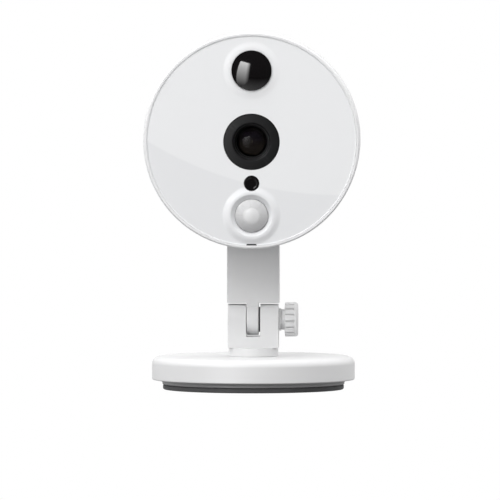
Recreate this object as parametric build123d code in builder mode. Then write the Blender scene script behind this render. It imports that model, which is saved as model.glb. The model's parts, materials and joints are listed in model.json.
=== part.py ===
from build123d import *
from math import asin, cos, radians, sin, sqrt
import os

# Small indoor Wi-Fi security camera: a round head on a flat arm, a clevis post with a
# thumbscrew, and a weighted round base. Millimetres, +Z up, the front faces -Y, and the
# origin is the centre of the underside. "Forward" below means a distance towards -Y.

# ---- driving dimensions ----
base_radius = 32.5
base_top = 10.6
base_wall = 2.0
base_round = 2.4
pad_radius = 29.0
pad_thickness = 1.7
plate_radius = 29.2
plate_flare = 0.8
plate_flange = 1.4
plate_lip = 1.4

hinge_height = 22.35
post_width = 16.3
post_foot_radius = 7.95
post_foot_height = 2.7
slot_width = 4.5
ear_radius = 5.0
shoulder_gap = 0.35

arm_width = 16.8
arm_thickness = 5.4
arm_reach = 54.0
tongue_width = 3.8
tongue_offset = -0.2

head_height = 80.5
head_radius = 34.5
head_wall = 2.0
head_rear_round = 9.0
head_parting = 20.0
face_front = 27.5
face_thickness = 2.0
rim_front = 27.75
rim_width = 1.05

lens_ring_radius = 8.95
lens_flange = 0.85
lens_opening = 5.5
barrel_radius = 6.0
ir_rise = 22.3
ir_window_radius = 6.28
ir_window_apex = 30.0
light_window_radius = 2.45
light_flange = 0.8
light_flange_gap = 0.55
lens_flange_gap = 0.15
pir_drop = 23.9
pir_radius = 5.2
pir_flange = 1.3
pir_skin = 0.6
pir_apex = 29.4
collar_rise = 1.3

thumb_radius = 5.5
thumb_length = 4.3
thumb_shoulder_radius = 3.3
thumb_shoulder_length = 1.1
thumb_flutes = 16
thumb_cap = 1.2
thumb_flute_turn = 4.5
screw_radius = 2.0

case_screw_circle = 22.5
bulkhead_back = 22.0
bulkhead_thickness = 1.5
board_back = 12.0
board_thickness = 1.2

filter_swing = 40.0
filter_arm = 8.0
filter_half = 4.2
filter_tab = 1.8

# ---- named clearances ----
running = 0.06
clear = 0.1
fit = 0.2
gap = 0.3
thread_gap = 0.02

os.makedirs("parts", exist_ok=True)


def write(piece, name):
    """Labels a finished piece and writes its STEP file."""
    piece.part.label = name
    export_step(piece.part, f"parts/{name}.step")


def facing(forward, across=0.0, height=head_height):
    """A sketch plane seen from the front: x to the right, y up, at a forward distance."""
    return Plane(origin=(across, -forward, height), x_dir=(1, 0, 0), z_dir=(0, -1, 0))


def section(height, across=0.0):
    """A profile plane for turned pieces: x is the radius and y the forward distance."""
    return Plane(origin=(across, 0, height), x_dir=(0, 0, 1), z_dir=(1, 0, 0))


def forward_axis(height, across=0.0):
    return Axis((across, 0, height), (0, -1, 0))


def turn_forward(points, height, across=0.0, mode=Mode.ADD):
    """Turns a closed outline of (radius, forward) points about a forward-facing axis."""
    with BuildSketch(section(height, across)) as outline:
        with BuildLine():
            Polyline(*points, close=True)
        make_face()
    revolve(outline.sketch, axis=forward_axis(height, across), mode=mode)


def ring_forward(outer, inner, start, end, height, across=0.0, mode=Mode.ADD):
    points = [(inner, start), (outer, start), (outer, end), (inner, end)]
    turn_forward(points, height, across, mode)


def turn_upright(points, mode=Mode.ADD):
    """Turns a closed outline of (radius, height) points about the vertical axis."""
    with BuildSketch(Plane.XZ) as outline:
        with BuildLine():
            Polyline(*points, close=True)
        make_face()
    revolve(outline.sketch, axis=Axis.Z, mode=mode)


def block(low, high, mode=Mode.ADD):
    """A rectangular block between two corners given as (across, forward, height)."""
    width = high[0] - low[0]
    rise = high[2] - low[2]
    middle = ((low[0] + high[0]) / 2, (low[2] + high[2]) / 2)
    with BuildSketch(facing(low[1], 0, 0)) as outline:
        with Locations(middle):
            Rectangle(width, rise)
    extrude(outline.sketch, amount=high[1] - low[1], mode=mode)


def crown(radius, rise):
    """The sphere radius of a cap of this rim radius and rise."""
    return (radius * radius + rise * rise) / (2 * rise)


def diagonal_points(radius):
    reach = radius * sqrt(0.5)
    return [(sx * reach, sz * reach) for sx in (-1, 1) for sz in (-1, 1)]


# =================================================== base ====
plate_bottom = pad_thickness
cover_bottom = plate_bottom + plate_lip
plate_top = cover_bottom + plate_flange
cover_inner = base_radius - base_wall - fit
flange_radius = cover_inner - fit
ceiling = base_top - base_wall
spigot_radius = 5.94
bearing_radius = spigot_radius + running
swivel_boss_bottom = ceiling - 2.1
swivel_boss_radius = bearing_radius + 2.6
spigot_bottom = swivel_boss_bottom - clear
swivel_washer_thickness = 0.8
swivel_washer_bottom = spigot_bottom - swivel_washer_thickness
swivel_head_height = 1.5
swivel_head_bottom = swivel_washer_bottom - swivel_head_height
relief_radius = 5.2
swivel_washer_radius = 7.8
swivel_head_radius = 3.0
swivel_head_slot = (3.4, 0.7, 0.9)
relief_floor = swivel_head_bottom - 2 * gap

plate_screw_circle = 25.5
plate_screw_count = 4
plate_screw_head = 2.2
plate_screw_shank = 0.95
plate_screw_sink = 1.5
plate_boss_radius = 2.7

keyhole_spacing = 36.0
keyhole_length = 14.0
keyhole_neck = 2.2
keyhole_entry = 4.25
wall_screw_head = 4.0


def keyholes(bottom, height):
    """Two slots for wall screws, each with a round entry for the screw's head halfway."""
    with BuildSketch(Plane.XY.offset(bottom)) as outline:
        with Locations((-keyhole_spacing / 2, 0), (keyhole_spacing / 2, 0)):
            SlotOverall(keyhole_length, 2 * keyhole_neck)
            Circle(keyhole_entry)
    extrude(outline.sketch, amount=height, mode=Mode.SUBTRACT)


with BuildPart() as foot_pad:
    turn_upright([(0, 0), (pad_radius - 0.3, 0), (pad_radius, 0.3),
                  (pad_radius, pad_thickness - 0.4), (pad_radius - 0.4, pad_thickness),
                  (0, pad_thickness)])
    keyholes(0, pad_thickness)
write(foot_pad, "foot_pad")

with BuildPart() as base_plate:
    turn_upright([(0, plate_bottom), (plate_radius, plate_bottom),
                  (plate_radius, cover_bottom - plate_flare), (flange_radius, cover_bottom),
                  (flange_radius, plate_top), (0, plate_top)])
    keyholes(plate_bottom, plate_top - plate_bottom)
    with BuildSketch(Plane.XY.offset(relief_floor)):
        Circle(relief_radius)
    extrude(amount=plate_top - relief_floor, mode=Mode.SUBTRACT)
    with BuildSketch(Plane.XY.offset(plate_bottom)):
        with PolarLocations(plate_screw_circle, plate_screw_count, 45):
            Circle(plate_screw_head + fit)
    extrude(amount=plate_screw_sink, mode=Mode.SUBTRACT)
    with BuildSketch(Plane.XY.offset(plate_bottom)):
        with PolarLocations(plate_screw_circle, plate_screw_count, 45):
            Circle(plate_screw_shank + fit)
    extrude(amount=plate_top - plate_bottom, mode=Mode.SUBTRACT)
write(base_plate, "base_plate")

with BuildPart() as base_cover:
    turn_upright([(0, cover_bottom), (base_radius, cover_bottom), (base_radius, base_top),
                  (0, base_top)])
    fillet(edges().group_by(Axis.Z)[-1], radius=base_round)
    fillet(edges().group_by(Axis.Z)[0], radius=0.4)
    turn_upright([(0, cover_bottom), (cover_inner, cover_bottom), (cover_inner, ceiling),
                  (0, ceiling)], Mode.SUBTRACT)
    turn_upright([(0, swivel_boss_bottom), (swivel_boss_radius, swivel_boss_bottom),
                  (swivel_boss_radius, ceiling), (0, ceiling)])
    with BuildSketch(Plane.XY.offset(plate_top)):
        with PolarLocations(plate_screw_circle, plate_screw_count, 45):
            Circle(plate_boss_radius)
    extrude(amount=ceiling - plate_top)
    with BuildSketch(Plane.XY.offset(plate_top)):
        with PolarLocations(plate_screw_circle, plate_screw_count, 45):
            Circle(plate_screw_shank)
    extrude(amount=ceiling - plate_top - 0.4, mode=Mode.SUBTRACT)
    with BuildSketch(Plane.XY.offset(swivel_boss_bottom)):
        Circle(bearing_radius)
    extrude(amount=base_top - swivel_boss_bottom, mode=Mode.SUBTRACT)
write(base_cover, "base_cover")

weight_radius = cover_inner - gap
weight_bore = swivel_boss_radius + gap
weight_top = ceiling - gap

with BuildPart() as base_weight:
    turn_upright([(weight_bore, plate_top), (weight_radius, plate_top),
                  (weight_radius, weight_top), (weight_bore, weight_top)])
    with BuildSketch(Plane.XY.offset(plate_top)):
        with PolarLocations(plate_screw_circle, plate_screw_count, 45):
            Rectangle(4 * (plate_boss_radius + gap), 2 * (plate_boss_radius + gap))
        with Locations((-keyhole_spacing / 2, 0), (keyhole_spacing / 2, 0)):
            SlotOverall(keyhole_length + 2 * (wall_screw_head - keyhole_neck) + 2,
                        2 * keyhole_entry + 2)
    extrude(amount=weight_top - plate_top, mode=Mode.SUBTRACT)
write(base_weight, "base_weight")

with BuildPart() as base_plate_screws:
    with BuildSketch(Plane.XY.offset(plate_bottom + 0.1)):
        with PolarLocations(plate_screw_circle, plate_screw_count, 45):
            Circle(plate_screw_head)
    extrude(amount=plate_screw_sink - 0.1)
    with BuildSketch(Plane.XY.offset(plate_bottom + plate_screw_sink)):
        with PolarLocations(plate_screw_circle, plate_screw_count, 45):
            Circle(plate_screw_shank)
    extrude(amount=ceiling - 0.8 - plate_bottom - plate_screw_sink)
    with BuildSketch(Plane.XY.offset(plate_bottom + 0.1)):
        with PolarLocations(plate_screw_circle, plate_screw_count, 45):
            Rectangle(2.4, 0.5)
            Rectangle(0.5, 2.4)
    extrude(amount=0.7, mode=Mode.SUBTRACT)
write(base_plate_screws, "base_plate_screws")

# =================================================== post ====
post_depth = 2 * ear_radius
arm_shoulder = ear_radius + shoulder_gap
swivel_screw_radius = 1.5
swivel_screw_depth = 6.0
foot_top = base_top + post_foot_height
slot_floor = hinge_height - arm_shoulder
nut_flats = 7.0
nut_height = 3.2
nut_sink = nut_height + 0.2
hinge_section = Plane(origin=(0, 0, hinge_height), x_dir=(0, 1, 0), z_dir=(1, 0, 0))


def across_cylinder(radius, start, end, mode=Mode.ADD):
    """A round bar along X on the tilt axis."""
    with BuildSketch(hinge_section.offset(start)) as outline:
        Circle(radius)
    extrude(outline.sketch, amount=end - start, mode=mode)


with BuildPart() as post:
    turn_upright([(0, spigot_bottom), (spigot_radius, spigot_bottom), (spigot_radius, base_top),
                  (post_foot_radius, base_top), (post_foot_radius, foot_top), (0, foot_top)])
    with BuildSketch(Plane.XY.offset(foot_top)):
        Rectangle(post_width, post_depth)
    extrude(amount=hinge_height - foot_top)
    across_cylinder(ear_radius, -post_width / 2, post_width / 2)
    with BuildSketch(Plane.XY.offset(slot_floor)):
        Rectangle(slot_width, 2 * post_depth)
    extrude(amount=hinge_height + ear_radius - slot_floor, mode=Mode.SUBTRACT)
    across_cylinder(screw_radius + clear, -post_width / 2, post_width / 2, Mode.SUBTRACT)
    with BuildSketch(hinge_section.offset(-post_width / 2)):
        RegularPolygon(nut_flats / 2 + clear, 6, major_radius=False)
    extrude(amount=nut_sink, mode=Mode.SUBTRACT)
    with BuildSketch(Plane.XY.offset(spigot_bottom)):
        Circle(swivel_screw_radius)
    extrude(amount=swivel_screw_depth, mode=Mode.SUBTRACT)
write(post, "post")

with BuildPart() as swivel_washer:
    turn_upright([(swivel_screw_radius + clear, swivel_washer_bottom), (swivel_washer_radius, swivel_washer_bottom),
                  (swivel_washer_radius, spigot_bottom), (swivel_screw_radius + clear, spigot_bottom)])
write(swivel_washer, "swivel_washer")

with BuildPart() as swivel_screw:
    turn_upright([(0, swivel_head_bottom), (swivel_head_radius, swivel_head_bottom),
                  (swivel_head_radius, swivel_washer_bottom),
                  (swivel_screw_radius - thread_gap, swivel_washer_bottom),
                  (swivel_screw_radius - thread_gap, spigot_bottom + swivel_screw_depth - gap),
                  (0, spigot_bottom + swivel_screw_depth - gap)])
    slot_length, slot_breadth, slot_depth = swivel_head_slot
    with BuildSketch(Plane.XY.offset(swivel_head_bottom)):
        Rectangle(slot_length, slot_breadth)
        Rectangle(slot_breadth, slot_length)
    extrude(amount=slot_depth, mode=Mode.SUBTRACT)
write(swivel_screw, "swivel_screw")

with BuildPart() as clamp_nut:
    with BuildSketch(hinge_section.offset(-post_width / 2 + 0.2)):
        RegularPolygon(nut_flats / 2, 6, major_radius=False)
        Circle(screw_radius + 0.05, mode=Mode.SUBTRACT)
    extrude(amount=nut_height)
write(clamp_nut, "clamp_nut")

friction_washer_radius = 4.0
tongue_right = tongue_offset + tongue_width / 2
with BuildPart() as friction_washer:
    across_cylinder(friction_washer_radius, tongue_right + running, slot_width / 2)
    across_cylinder(screw_radius + clear, tongue_right + running, slot_width / 2, Mode.SUBTRACT)
write(friction_washer, "friction_washer")

# =================================================== thumbscrew ====
washer_thickness = 0.8
washer_radius = 3.6
washer_face = post_width / 2
collar_face = washer_face + washer_thickness
knob_face = collar_face + thumb_shoulder_length
knob_end = knob_face + thumb_length
screw_tip = -post_width / 2 + 0.3
flute_radius = 0.5

with BuildPart() as clamp_washer:
    across_cylinder(washer_radius, washer_face, collar_face)
    across_cylinder(screw_radius + clear, washer_face, collar_face, Mode.SUBTRACT)
write(clamp_washer, "clamp_washer")

with BuildPart() as thumbscrew:
    across_cylinder(thumb_radius, knob_face, knob_end)
    fillet(edges().group_by(Axis.X)[-1], radius=0.8)
    fillet(edges().group_by(Axis.X)[0], radius=0.4)
    with BuildSketch(hinge_section.offset(knob_face)):
        with PolarLocations(thumb_radius + 0.1, thumb_flutes, thumb_flute_turn):
            Circle(flute_radius)
    extrude(amount=thumb_length - thumb_cap, mode=Mode.SUBTRACT)
    across_cylinder(thumb_shoulder_radius, collar_face, knob_face)
    across_cylinder(screw_radius, screw_tip, collar_face)
write(thumbscrew, "thumbscrew")

# =================================================== arm ====
shell_back = arm_thickness / 2
arm_end = hinge_height + arm_reach
shoulder_height = hinge_height + arm_shoulder
arm_screw_radius = 1.5
arm_screw_head = 2.8
arm_screw_sink = 2.2
arm_screw_heights = (head_height - 20.0, head_height - 9.0)
arm_boss_depth = 4.3
arm_boss_radius = 3.5
arm_screw_head_height = 1.7
tongue_left = tongue_offset - tongue_width / 2

with BuildPart() as arm:
    with BuildSketch(facing(-arm_thickness / 2, 0, 0)):
        with Locations((0, (shoulder_height + arm_end - arm_width / 2) / 2)):
            Rectangle(arm_width, arm_end - arm_width / 2 - shoulder_height)
        with Locations((0, arm_end - arm_width / 2)):
            Circle(arm_width / 2)
    extrude(amount=arm_thickness)
    with BuildSketch(hinge_section.offset(tongue_left)):
        Circle(ear_radius)
        with Locations((0, arm_shoulder / 2)):
            Rectangle(arm_thickness, arm_shoulder)
    extrude(amount=tongue_width)
    across_cylinder(screw_radius + clear, tongue_left, tongue_left + tongue_width, Mode.SUBTRACT)
    with BuildSketch(facing(-arm_thickness / 2, 0, 0)):
        with Locations(*[(0, height) for height in arm_screw_heights]):
            Circle(arm_screw_head + fit)
    extrude(amount=arm_screw_sink, mode=Mode.SUBTRACT)
    with BuildSketch(facing(-arm_thickness / 2, 0, 0)):
        with Locations(*[(0, height) for height in arm_screw_heights]):
            Circle(arm_screw_radius + clear)
    extrude(amount=arm_thickness, mode=Mode.SUBTRACT)
write(arm, "arm")

arm_screw_seat = -arm_thickness / 2 + arm_screw_sink
arm_screw_end = shell_back + head_wall + arm_boss_depth

with BuildPart() as arm_screws:
    for height in arm_screw_heights:
        with BuildSketch(facing(arm_screw_seat - arm_screw_head_height, 0, 0)):
            with Locations((0, height)):
                Circle(arm_screw_head)
        extrude(amount=arm_screw_head_height)
        with BuildSketch(facing(arm_screw_seat, 0, 0)):
            with Locations((0, height)):
                Circle(arm_screw_radius - thread_gap)
        extrude(amount=arm_screw_end - arm_screw_seat - 1.0)
        with BuildSketch(facing(arm_screw_seat - arm_screw_head_height, 0, 0)):
            with Locations((0, height)):
                Rectangle(3.0, 0.6)
                Rectangle(0.6, 3.0)
        extrude(amount=1.0, mode=Mode.SUBTRACT)
write(arm_screws, "arm_screws")

# =================================================== head shells ====
inner_back = shell_back + head_wall
inner_radius = head_radius - head_wall
inner_round = head_rear_round - head_wall
case_points = diagonal_points(case_screw_circle)
case_screw_radius = 1.05
case_screw_head = 2.1
case_counterbore = 3.0
case_boss_radius = 3.2
case_boss_top = 9.0
case_post_radius = 2.6
case_screw_head_height = 1.4
speaker_rise = 15.0
speaker_radius = 10.0
grille_pitch = 2.6
grille_hole = 0.65
grille_radius = 8.2
socket_place = (16.0, -8.5)
socket_width = 7.6
socket_height = 2.9
reset_place = (-16.0, -9.0)
setup_place = (-16.0, -1.0)
reset_radius = 1.3
setup_radius = 2.4
card_width = 11.6
card_slot = 1.3
card_forward = board_back + board_thickness + 0.35


def round_cup(radius, back, rounding, front, mode=Mode.ADD):
    """A solid puck with a large rounding behind."""
    bend = rounding * (1 - sqrt(0.5))
    with BuildSketch(section(head_height)) as outline:
        with BuildLine():
            Line((0, back), (radius - rounding, back))
            ThreePointArc((radius - rounding, back), (radius - bend, back + bend),
                          (radius, back + rounding))
            Line((radius, back + rounding), (radius, front))
            Line((radius, front), (0, front))
            Line((0, front), (0, back))
        make_face()
    revolve(outline.sketch, axis=forward_axis(head_height), mode=mode)


def front_circles(forward, points, radius, amount, mode):
    """Round bosses or holes at points given from the head's centre."""
    with BuildSketch(facing(forward)) as outline:
        with Locations(*points):
            Circle(radius)
    extrude(outline.sketch, amount=amount, mode=mode)


def grille_points():
    rows = range(-4, 5)
    points = []
    for row in rows:
        height = row * grille_pitch * sqrt(0.75)
        for column in rows:
            across = (column + 0.5 * (row % 2)) * grille_pitch
            if across * across + height * height < grille_radius * grille_radius:
                points.append((across, speaker_rise + height))
    return points


arm_boss_points = [(0, height - head_height) for height in arm_screw_heights]

with BuildPart() as rear_shell:
    round_cup(head_radius, shell_back, head_rear_round, head_parting)
    round_cup(inner_radius, inner_back, inner_round, head_parting, Mode.SUBTRACT)
    front_circles(inner_back - 0.5, case_points, case_boss_radius,
                  case_boss_top - inner_back + 0.5, Mode.ADD)
    front_circles(inner_back - 0.5, arm_boss_points, arm_boss_radius, arm_boss_depth + 0.5,
                  Mode.ADD)
    front_circles(shell_back, case_points, case_screw_radius + 0.25,
                  case_boss_top - shell_back, Mode.SUBTRACT)
    front_circles(shell_back, case_points, case_screw_head + 0.3, case_counterbore,
                  Mode.SUBTRACT)
    front_circles(shell_back, arm_boss_points, arm_screw_radius,
                  arm_screw_end - shell_back, Mode.SUBTRACT)
    front_circles(shell_back, grille_points(), grille_hole, head_wall, Mode.SUBTRACT)
    front_circles(shell_back, [reset_place], reset_radius + clear, head_wall, Mode.SUBTRACT)
    front_circles(shell_back, [setup_place], setup_radius + clear, head_wall, Mode.SUBTRACT)
    with BuildSketch(facing(shell_back)):
        with Locations(socket_place):
            RectangleRounded(socket_width + 2 * fit, socket_height + 2 * fit, 0.8)
    extrude(amount=head_wall, mode=Mode.SUBTRACT)
    block((inner_radius - 1.5, card_forward, head_height - card_width / 2),
          (head_radius + 1, card_forward + card_slot, head_height + card_width / 2),
          Mode.SUBTRACT)
write(rear_shell, "rear_shell")

face_back = face_front - face_thickness
light_flange_radius = light_window_radius + light_flange
lens_flange_radius = lens_ring_radius + lens_flange
light_window_drop = (pir_drop - pir_radius - pir_flange - light_flange_gap
                     - light_flange_radius)
lens_drop = light_window_drop - light_flange_radius - lens_flange_gap - lens_flange_radius
seat_radius = head_radius - rim_width
lip_radius = inner_radius - fit
bulkhead_front = bulkhead_back + bulkhead_thickness
lens_height = head_height - lens_drop
ir_height = head_height + ir_rise
light_height = head_height - light_window_drop
pir_height = head_height - pir_drop
pir_can_radius = pir_radius - 1.1
led_hole_radius = ir_window_radius + 0.52
lens_tube_radius = barrel_radius + 1.6
microphone_drop = 29.6
microphone_radius = 2.0
board_front = board_back + board_thickness
board_screw_points = [(-12.5, 24.0), (-24.5, -9.0), (24.5, -11.0)]
board_boss_radius = 2.2
board_screw_radius = 0.8
board_screw_head = 1.7
board_screw_head_height = 1.2
board_screw_depth = 5.5
front_board_back = 20.8

with BuildPart() as front_shell:
    turn_forward([(lip_radius - 1.2, head_parting - 1.8), (lip_radius, head_parting - 1.8),
                  (lip_radius, head_parting), (head_radius, head_parting),
                  (head_radius, rim_front - 0.4), (head_radius - 0.4, rim_front),
                  (seat_radius, rim_front), (seat_radius, face_back), (seat_radius - 1.6, face_back),
                  (seat_radius - 1.6, bulkhead_front), (0, bulkhead_front), (0, bulkhead_back),
                  (lip_radius - 1.2, bulkhead_back)], head_height)
    front_circles(case_boss_top, case_points, case_post_radius,
                  bulkhead_back - case_boss_top, Mode.ADD)
    front_circles(case_boss_top, case_points, case_screw_radius,
                  9.0, Mode.SUBTRACT)
    front_circles(board_front, board_screw_points, board_boss_radius,
                  bulkhead_back - board_front, Mode.ADD)
    front_circles(board_front, board_screw_points, board_screw_radius, board_screw_depth,
                  Mode.SUBTRACT)
    front_circles(bulkhead_back, [(0, -lens_drop)], lens_tube_radius + 1.0, bulkhead_thickness,
                  Mode.SUBTRACT)
    front_circles(bulkhead_back, [(0, ir_rise)], led_hole_radius, bulkhead_thickness,
                  Mode.SUBTRACT)
    front_circles(bulkhead_back, [(0, -light_window_drop)], 2.6, bulkhead_thickness,
                  Mode.SUBTRACT)
    front_circles(bulkhead_back, [(0, -pir_drop)], pir_can_radius + 0.6, bulkhead_thickness,
                  Mode.SUBTRACT)
    front_circles(bulkhead_back, [(0, -microphone_drop)], microphone_radius - 0.8,
                  bulkhead_thickness, Mode.SUBTRACT)
write(front_shell, "front_shell")

plate_edge = seat_radius - 0.2
ir_collar = (ir_window_radius + 3.12, ir_window_radius + 2.02, ir_window_radius + 1.02)
pir_foot = plate_edge - pir_drop - 0.05
pir_lip = pir_radius + 1.7
pir_collar = (pir_foot, (pir_foot + pir_lip) / 2 + 0.1, pir_lip)
flange_gap = 0.05
notch_half = 1.65
notch_depth = 0.45


def raised_collar(radii, height):
    """A soft raised collar: a concave foot that runs up to a rounded lip."""
    foot, slope, lip = radii
    top = face_front + collar_rise
    with BuildSketch(section(height)) as outline:
        with BuildLine():
            Line((0, face_back), (foot, face_back))
            Line((foot, face_back), (foot, face_front))
            Spline((foot, face_front), (slope, face_front + 0.45 * collar_rise),
                   (lip, top), tangents=[(-1, 0), (-1, 0)])
            Line((lip, top), (0, top))
            Line((0, top), (0, face_back))
        make_face()
    revolve(outline.sketch, axis=forward_axis(height))


with BuildPart() as face_plate:
    ring_forward(plate_edge, 0, face_back, face_front, head_height)
    fillet(edges().group_by(Axis.Y)[0], radius=0.35)
    raised_collar(ir_collar, ir_height)
    raised_collar(pir_collar, pir_height)
    ring_forward(ir_window_radius + clear, 0, face_back, face_front + 2 * collar_rise,
                 ir_height, mode=Mode.SUBTRACT)
    turn_forward([(0, face_back), (pir_radius + clear, face_back), (pir_radius + 0.3, face_front),
                  (pir_radius + 1.5, face_front + collar_rise), (0, face_front + collar_rise)],
                 pir_height, mode=Mode.SUBTRACT)
    ring_forward(lens_ring_radius + flange_gap, 0, face_back, face_front, lens_height,
                 mode=Mode.SUBTRACT)
    ring_forward(light_window_radius + flange_gap, 0, face_back, face_front + collar_rise,
                 light_height, mode=Mode.SUBTRACT)
    block((-notch_half, face_back, head_height - plate_edge - 1),
          (notch_half, face_front, head_height - plate_edge + notch_depth), Mode.SUBTRACT)
write(face_plate, "face_plate")

with BuildPart() as case_screws:
    head_seat = shell_back + case_counterbore
    front_circles(head_seat - case_screw_head_height, case_points, case_screw_head,
                  case_screw_head_height, Mode.ADD)
    front_circles(head_seat, case_points, case_screw_radius - thread_gap,
                  case_boss_top + 8.0 - head_seat, Mode.ADD)
    with BuildSketch(facing(head_seat - case_screw_head_height)):
        with Locations(*case_points):
            Rectangle(2.4, 0.5)
            Rectangle(0.5, 2.4)
    extrude(amount=0.8, mode=Mode.SUBTRACT)
write(case_screws, "case_screws")

# =================================================== windows and lens ====
ir_shoulder = ir_window_apex - 1.7


def dome(radius, shoulder, apex, back, height, mode=Mode.ADD):
    """A round cap: a straight rim from back to shoulder, and a crown up to the apex."""
    rise = apex - shoulder
    sphere = crown(radius, rise)
    half = asin(radius / sphere) / 2
    middle = (sphere * sin(half), apex - sphere * (1 - cos(half)))
    with BuildSketch(section(height)) as outline:
        with BuildLine():
            Line((0, back), (radius, back))
            Line((radius, back), (radius, shoulder))
            ThreePointArc((radius, shoulder), middle, (0, apex))
            Line((0, apex), (0, back))
        make_face()
    revolve(outline.sketch, axis=forward_axis(height), mode=mode)


with BuildPart() as ir_window:
    dome(ir_window_radius, ir_shoulder, ir_window_apex, face_back, ir_height)
    ring_forward(ir_window_radius + 1.2, 0, face_back - 0.8, face_back, ir_height)
    ring_forward(ir_window_radius - 1.0, 0, face_back - 0.8, face_back + 1.5, ir_height,
                 mode=Mode.SUBTRACT)
write(ir_window, "ir_window")

with BuildPart() as ir_led_board:
    ring_forward(led_hole_radius + 1.4, 0, bulkhead_back - 1.0, bulkhead_back, ir_height)
write(ir_led_board, "ir_led_board")

with BuildPart() as ir_leds:
    for turn in (90, 210, 330):
        across = 3.0 * cos(radians(turn))
        height = ir_height + 3.0 * sin(radians(turn))
        block((across - 1.5, bulkhead_back, height - 1.5),
              (across + 1.5, bulkhead_back + 1.1, height + 1.5))
        with BuildSketch(facing(bulkhead_back + 1.1, across, height)):
            Circle(1.2)
        extrude(amount=0.7)
write(ir_leds, "ir_leds")

ring_front = face_front + 0.15
with BuildPart() as lens_ring:
    turn_forward([(lens_opening, bulkhead_front + fit), (lens_flange_radius, bulkhead_front + fit),
                  (lens_flange_radius, face_back), (lens_ring_radius, face_back),
                  (lens_ring_radius, ring_front - 0.3), (lens_ring_radius - 0.3, ring_front),
                  (6.7, ring_front), (lens_opening, ring_front - 1.2)], lens_height)
write(lens_ring, "lens_ring")

holder_back = board_front
holder_front = holder_back + 4.8
tube_front = bulkhead_back + 0.6
barrel_back = 17.4
barrel_front = 23.4
bore_radius = barrel_radius - 1.8
mouth_radius = barrel_radius - 1.1
mouth_back = 21.6

with BuildPart() as lens_barrel:
    turn_forward([(2.4, barrel_back), (barrel_radius - 0.02, barrel_back),
                  (barrel_radius - 0.02, barrel_front), (2.4, barrel_front)], lens_height)
    ring_forward(bore_radius, 0, barrel_back + 0.8, barrel_front, lens_height,
                 mode=Mode.SUBTRACT)
    ring_forward(mouth_radius, 0, mouth_back, barrel_front, lens_height, mode=Mode.SUBTRACT)
write(lens_barrel, "lens_barrel")

rear_lens_front = barrel_back + 2.0
second_lens_back = rear_lens_front + 0.9
second_lens_front = mouth_back
with BuildPart() as rear_lens:
    dome(bore_radius - 0.02, rear_lens_front - 0.6, rear_lens_front, barrel_back + 0.8,
         lens_height)
write(rear_lens, "rear_lens")

with BuildPart() as lens_spacer:
    ring_forward(bore_radius - 0.02, 3.3, rear_lens_front, second_lens_back, lens_height)
write(lens_spacer, "lens_spacer")

with BuildPart() as second_lens:
    dome(bore_radius - 0.02, second_lens_front - 0.4, second_lens_front, second_lens_back,
         lens_height)
write(second_lens, "second_lens")

with BuildPart() as front_lens:
    dome(mouth_radius - 0.02, barrel_front - 0.5, barrel_front + 1.1, mouth_back, lens_height)
write(front_lens, "front_lens")

# =================================================== lens holder and day-night filter ====
holder_half = 11.0
holder_low = -16.0
holder_high = lens_tube_radius
holder_wall = 1.0
chamber_front = holder_front - 1.2
track_back = holder_back + 1.2
track_front = track_back + 0.8
slider_back = track_front + 0.15
slider_front = slider_back + 0.8
swing_half = radians(filter_swing / 2)
filter_travel = 2 * filter_arm * sin(swing_half)
pin_radius = 0.45
pivot_drop = 12.5
filter_width = 4.7
filter_height = 6.4

with BuildPart() as lens_holder:
    block((-holder_half, holder_back, lens_height + holder_low),
          (holder_half, holder_front, lens_height + holder_high))
    ring_forward(lens_tube_radius, 0, holder_front, tube_front, lens_height)
    block((-holder_half + holder_wall, holder_back, lens_height + holder_low + holder_wall),
          (holder_half - holder_wall, chamber_front, lens_height + holder_high - holder_wall),
          Mode.SUBTRACT)
    ring_forward(barrel_radius, 0, chamber_front, tube_front, lens_height, mode=Mode.SUBTRACT)
write(lens_holder, "lens_holder")

pivot_height = lens_height - pivot_drop
with BuildPart() as filter_track:
    block((-holder_half + holder_wall + clear, track_back,
           lens_height + holder_low + holder_wall + clear),
          (holder_half - holder_wall - clear, track_front,
           lens_height + holder_high - holder_wall - clear))
    block((-3.5, track_back, lens_height - 3.5), (3.5, track_front, lens_height + 3.5),
          Mode.SUBTRACT)
    front_circles(track_front, [(0, pivot_height - head_height)], 0.5, 1.4, Mode.ADD)
write(filter_track, "filter_track")

slider_left = -filter_travel - filter_width / 2 - 1.0
slider_right = filter_width / 2 + 0.9
slot_middle = -filter_travel / 2
tab_end = lens_height - filter_half - filter_tab
with BuildPart() as filter_slider:
    block((slider_left, slider_back, lens_height - filter_half),
          (slider_right, slider_front, lens_height + filter_half))
    block((slot_middle - 1.5, slider_back, tab_end),
          (slot_middle + 1.5, slider_front, lens_height - filter_half))
    for middle in (0, -filter_travel):
        block((middle - filter_width / 2, slider_back, lens_height - filter_height / 2),
              (middle + filter_width / 2, slider_front, lens_height + filter_height / 2),
              Mode.SUBTRACT)
    block((slot_middle - pin_radius - clear, slider_back, tab_end),
          (slot_middle + pin_radius + clear, slider_front, lens_height - 3.6), Mode.SUBTRACT)
write(filter_slider, "filter_slider")

for name, middle in (("day_filter", 0), ("night_filter", -filter_travel)):
    with BuildPart() as filter_glass:
        block((middle - filter_width / 2, slider_back + 0.2, lens_height - filter_height / 2),
              (middle + filter_width / 2, slider_front - 0.2, lens_height + filter_height / 2))
    write(filter_glass, name)

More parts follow.
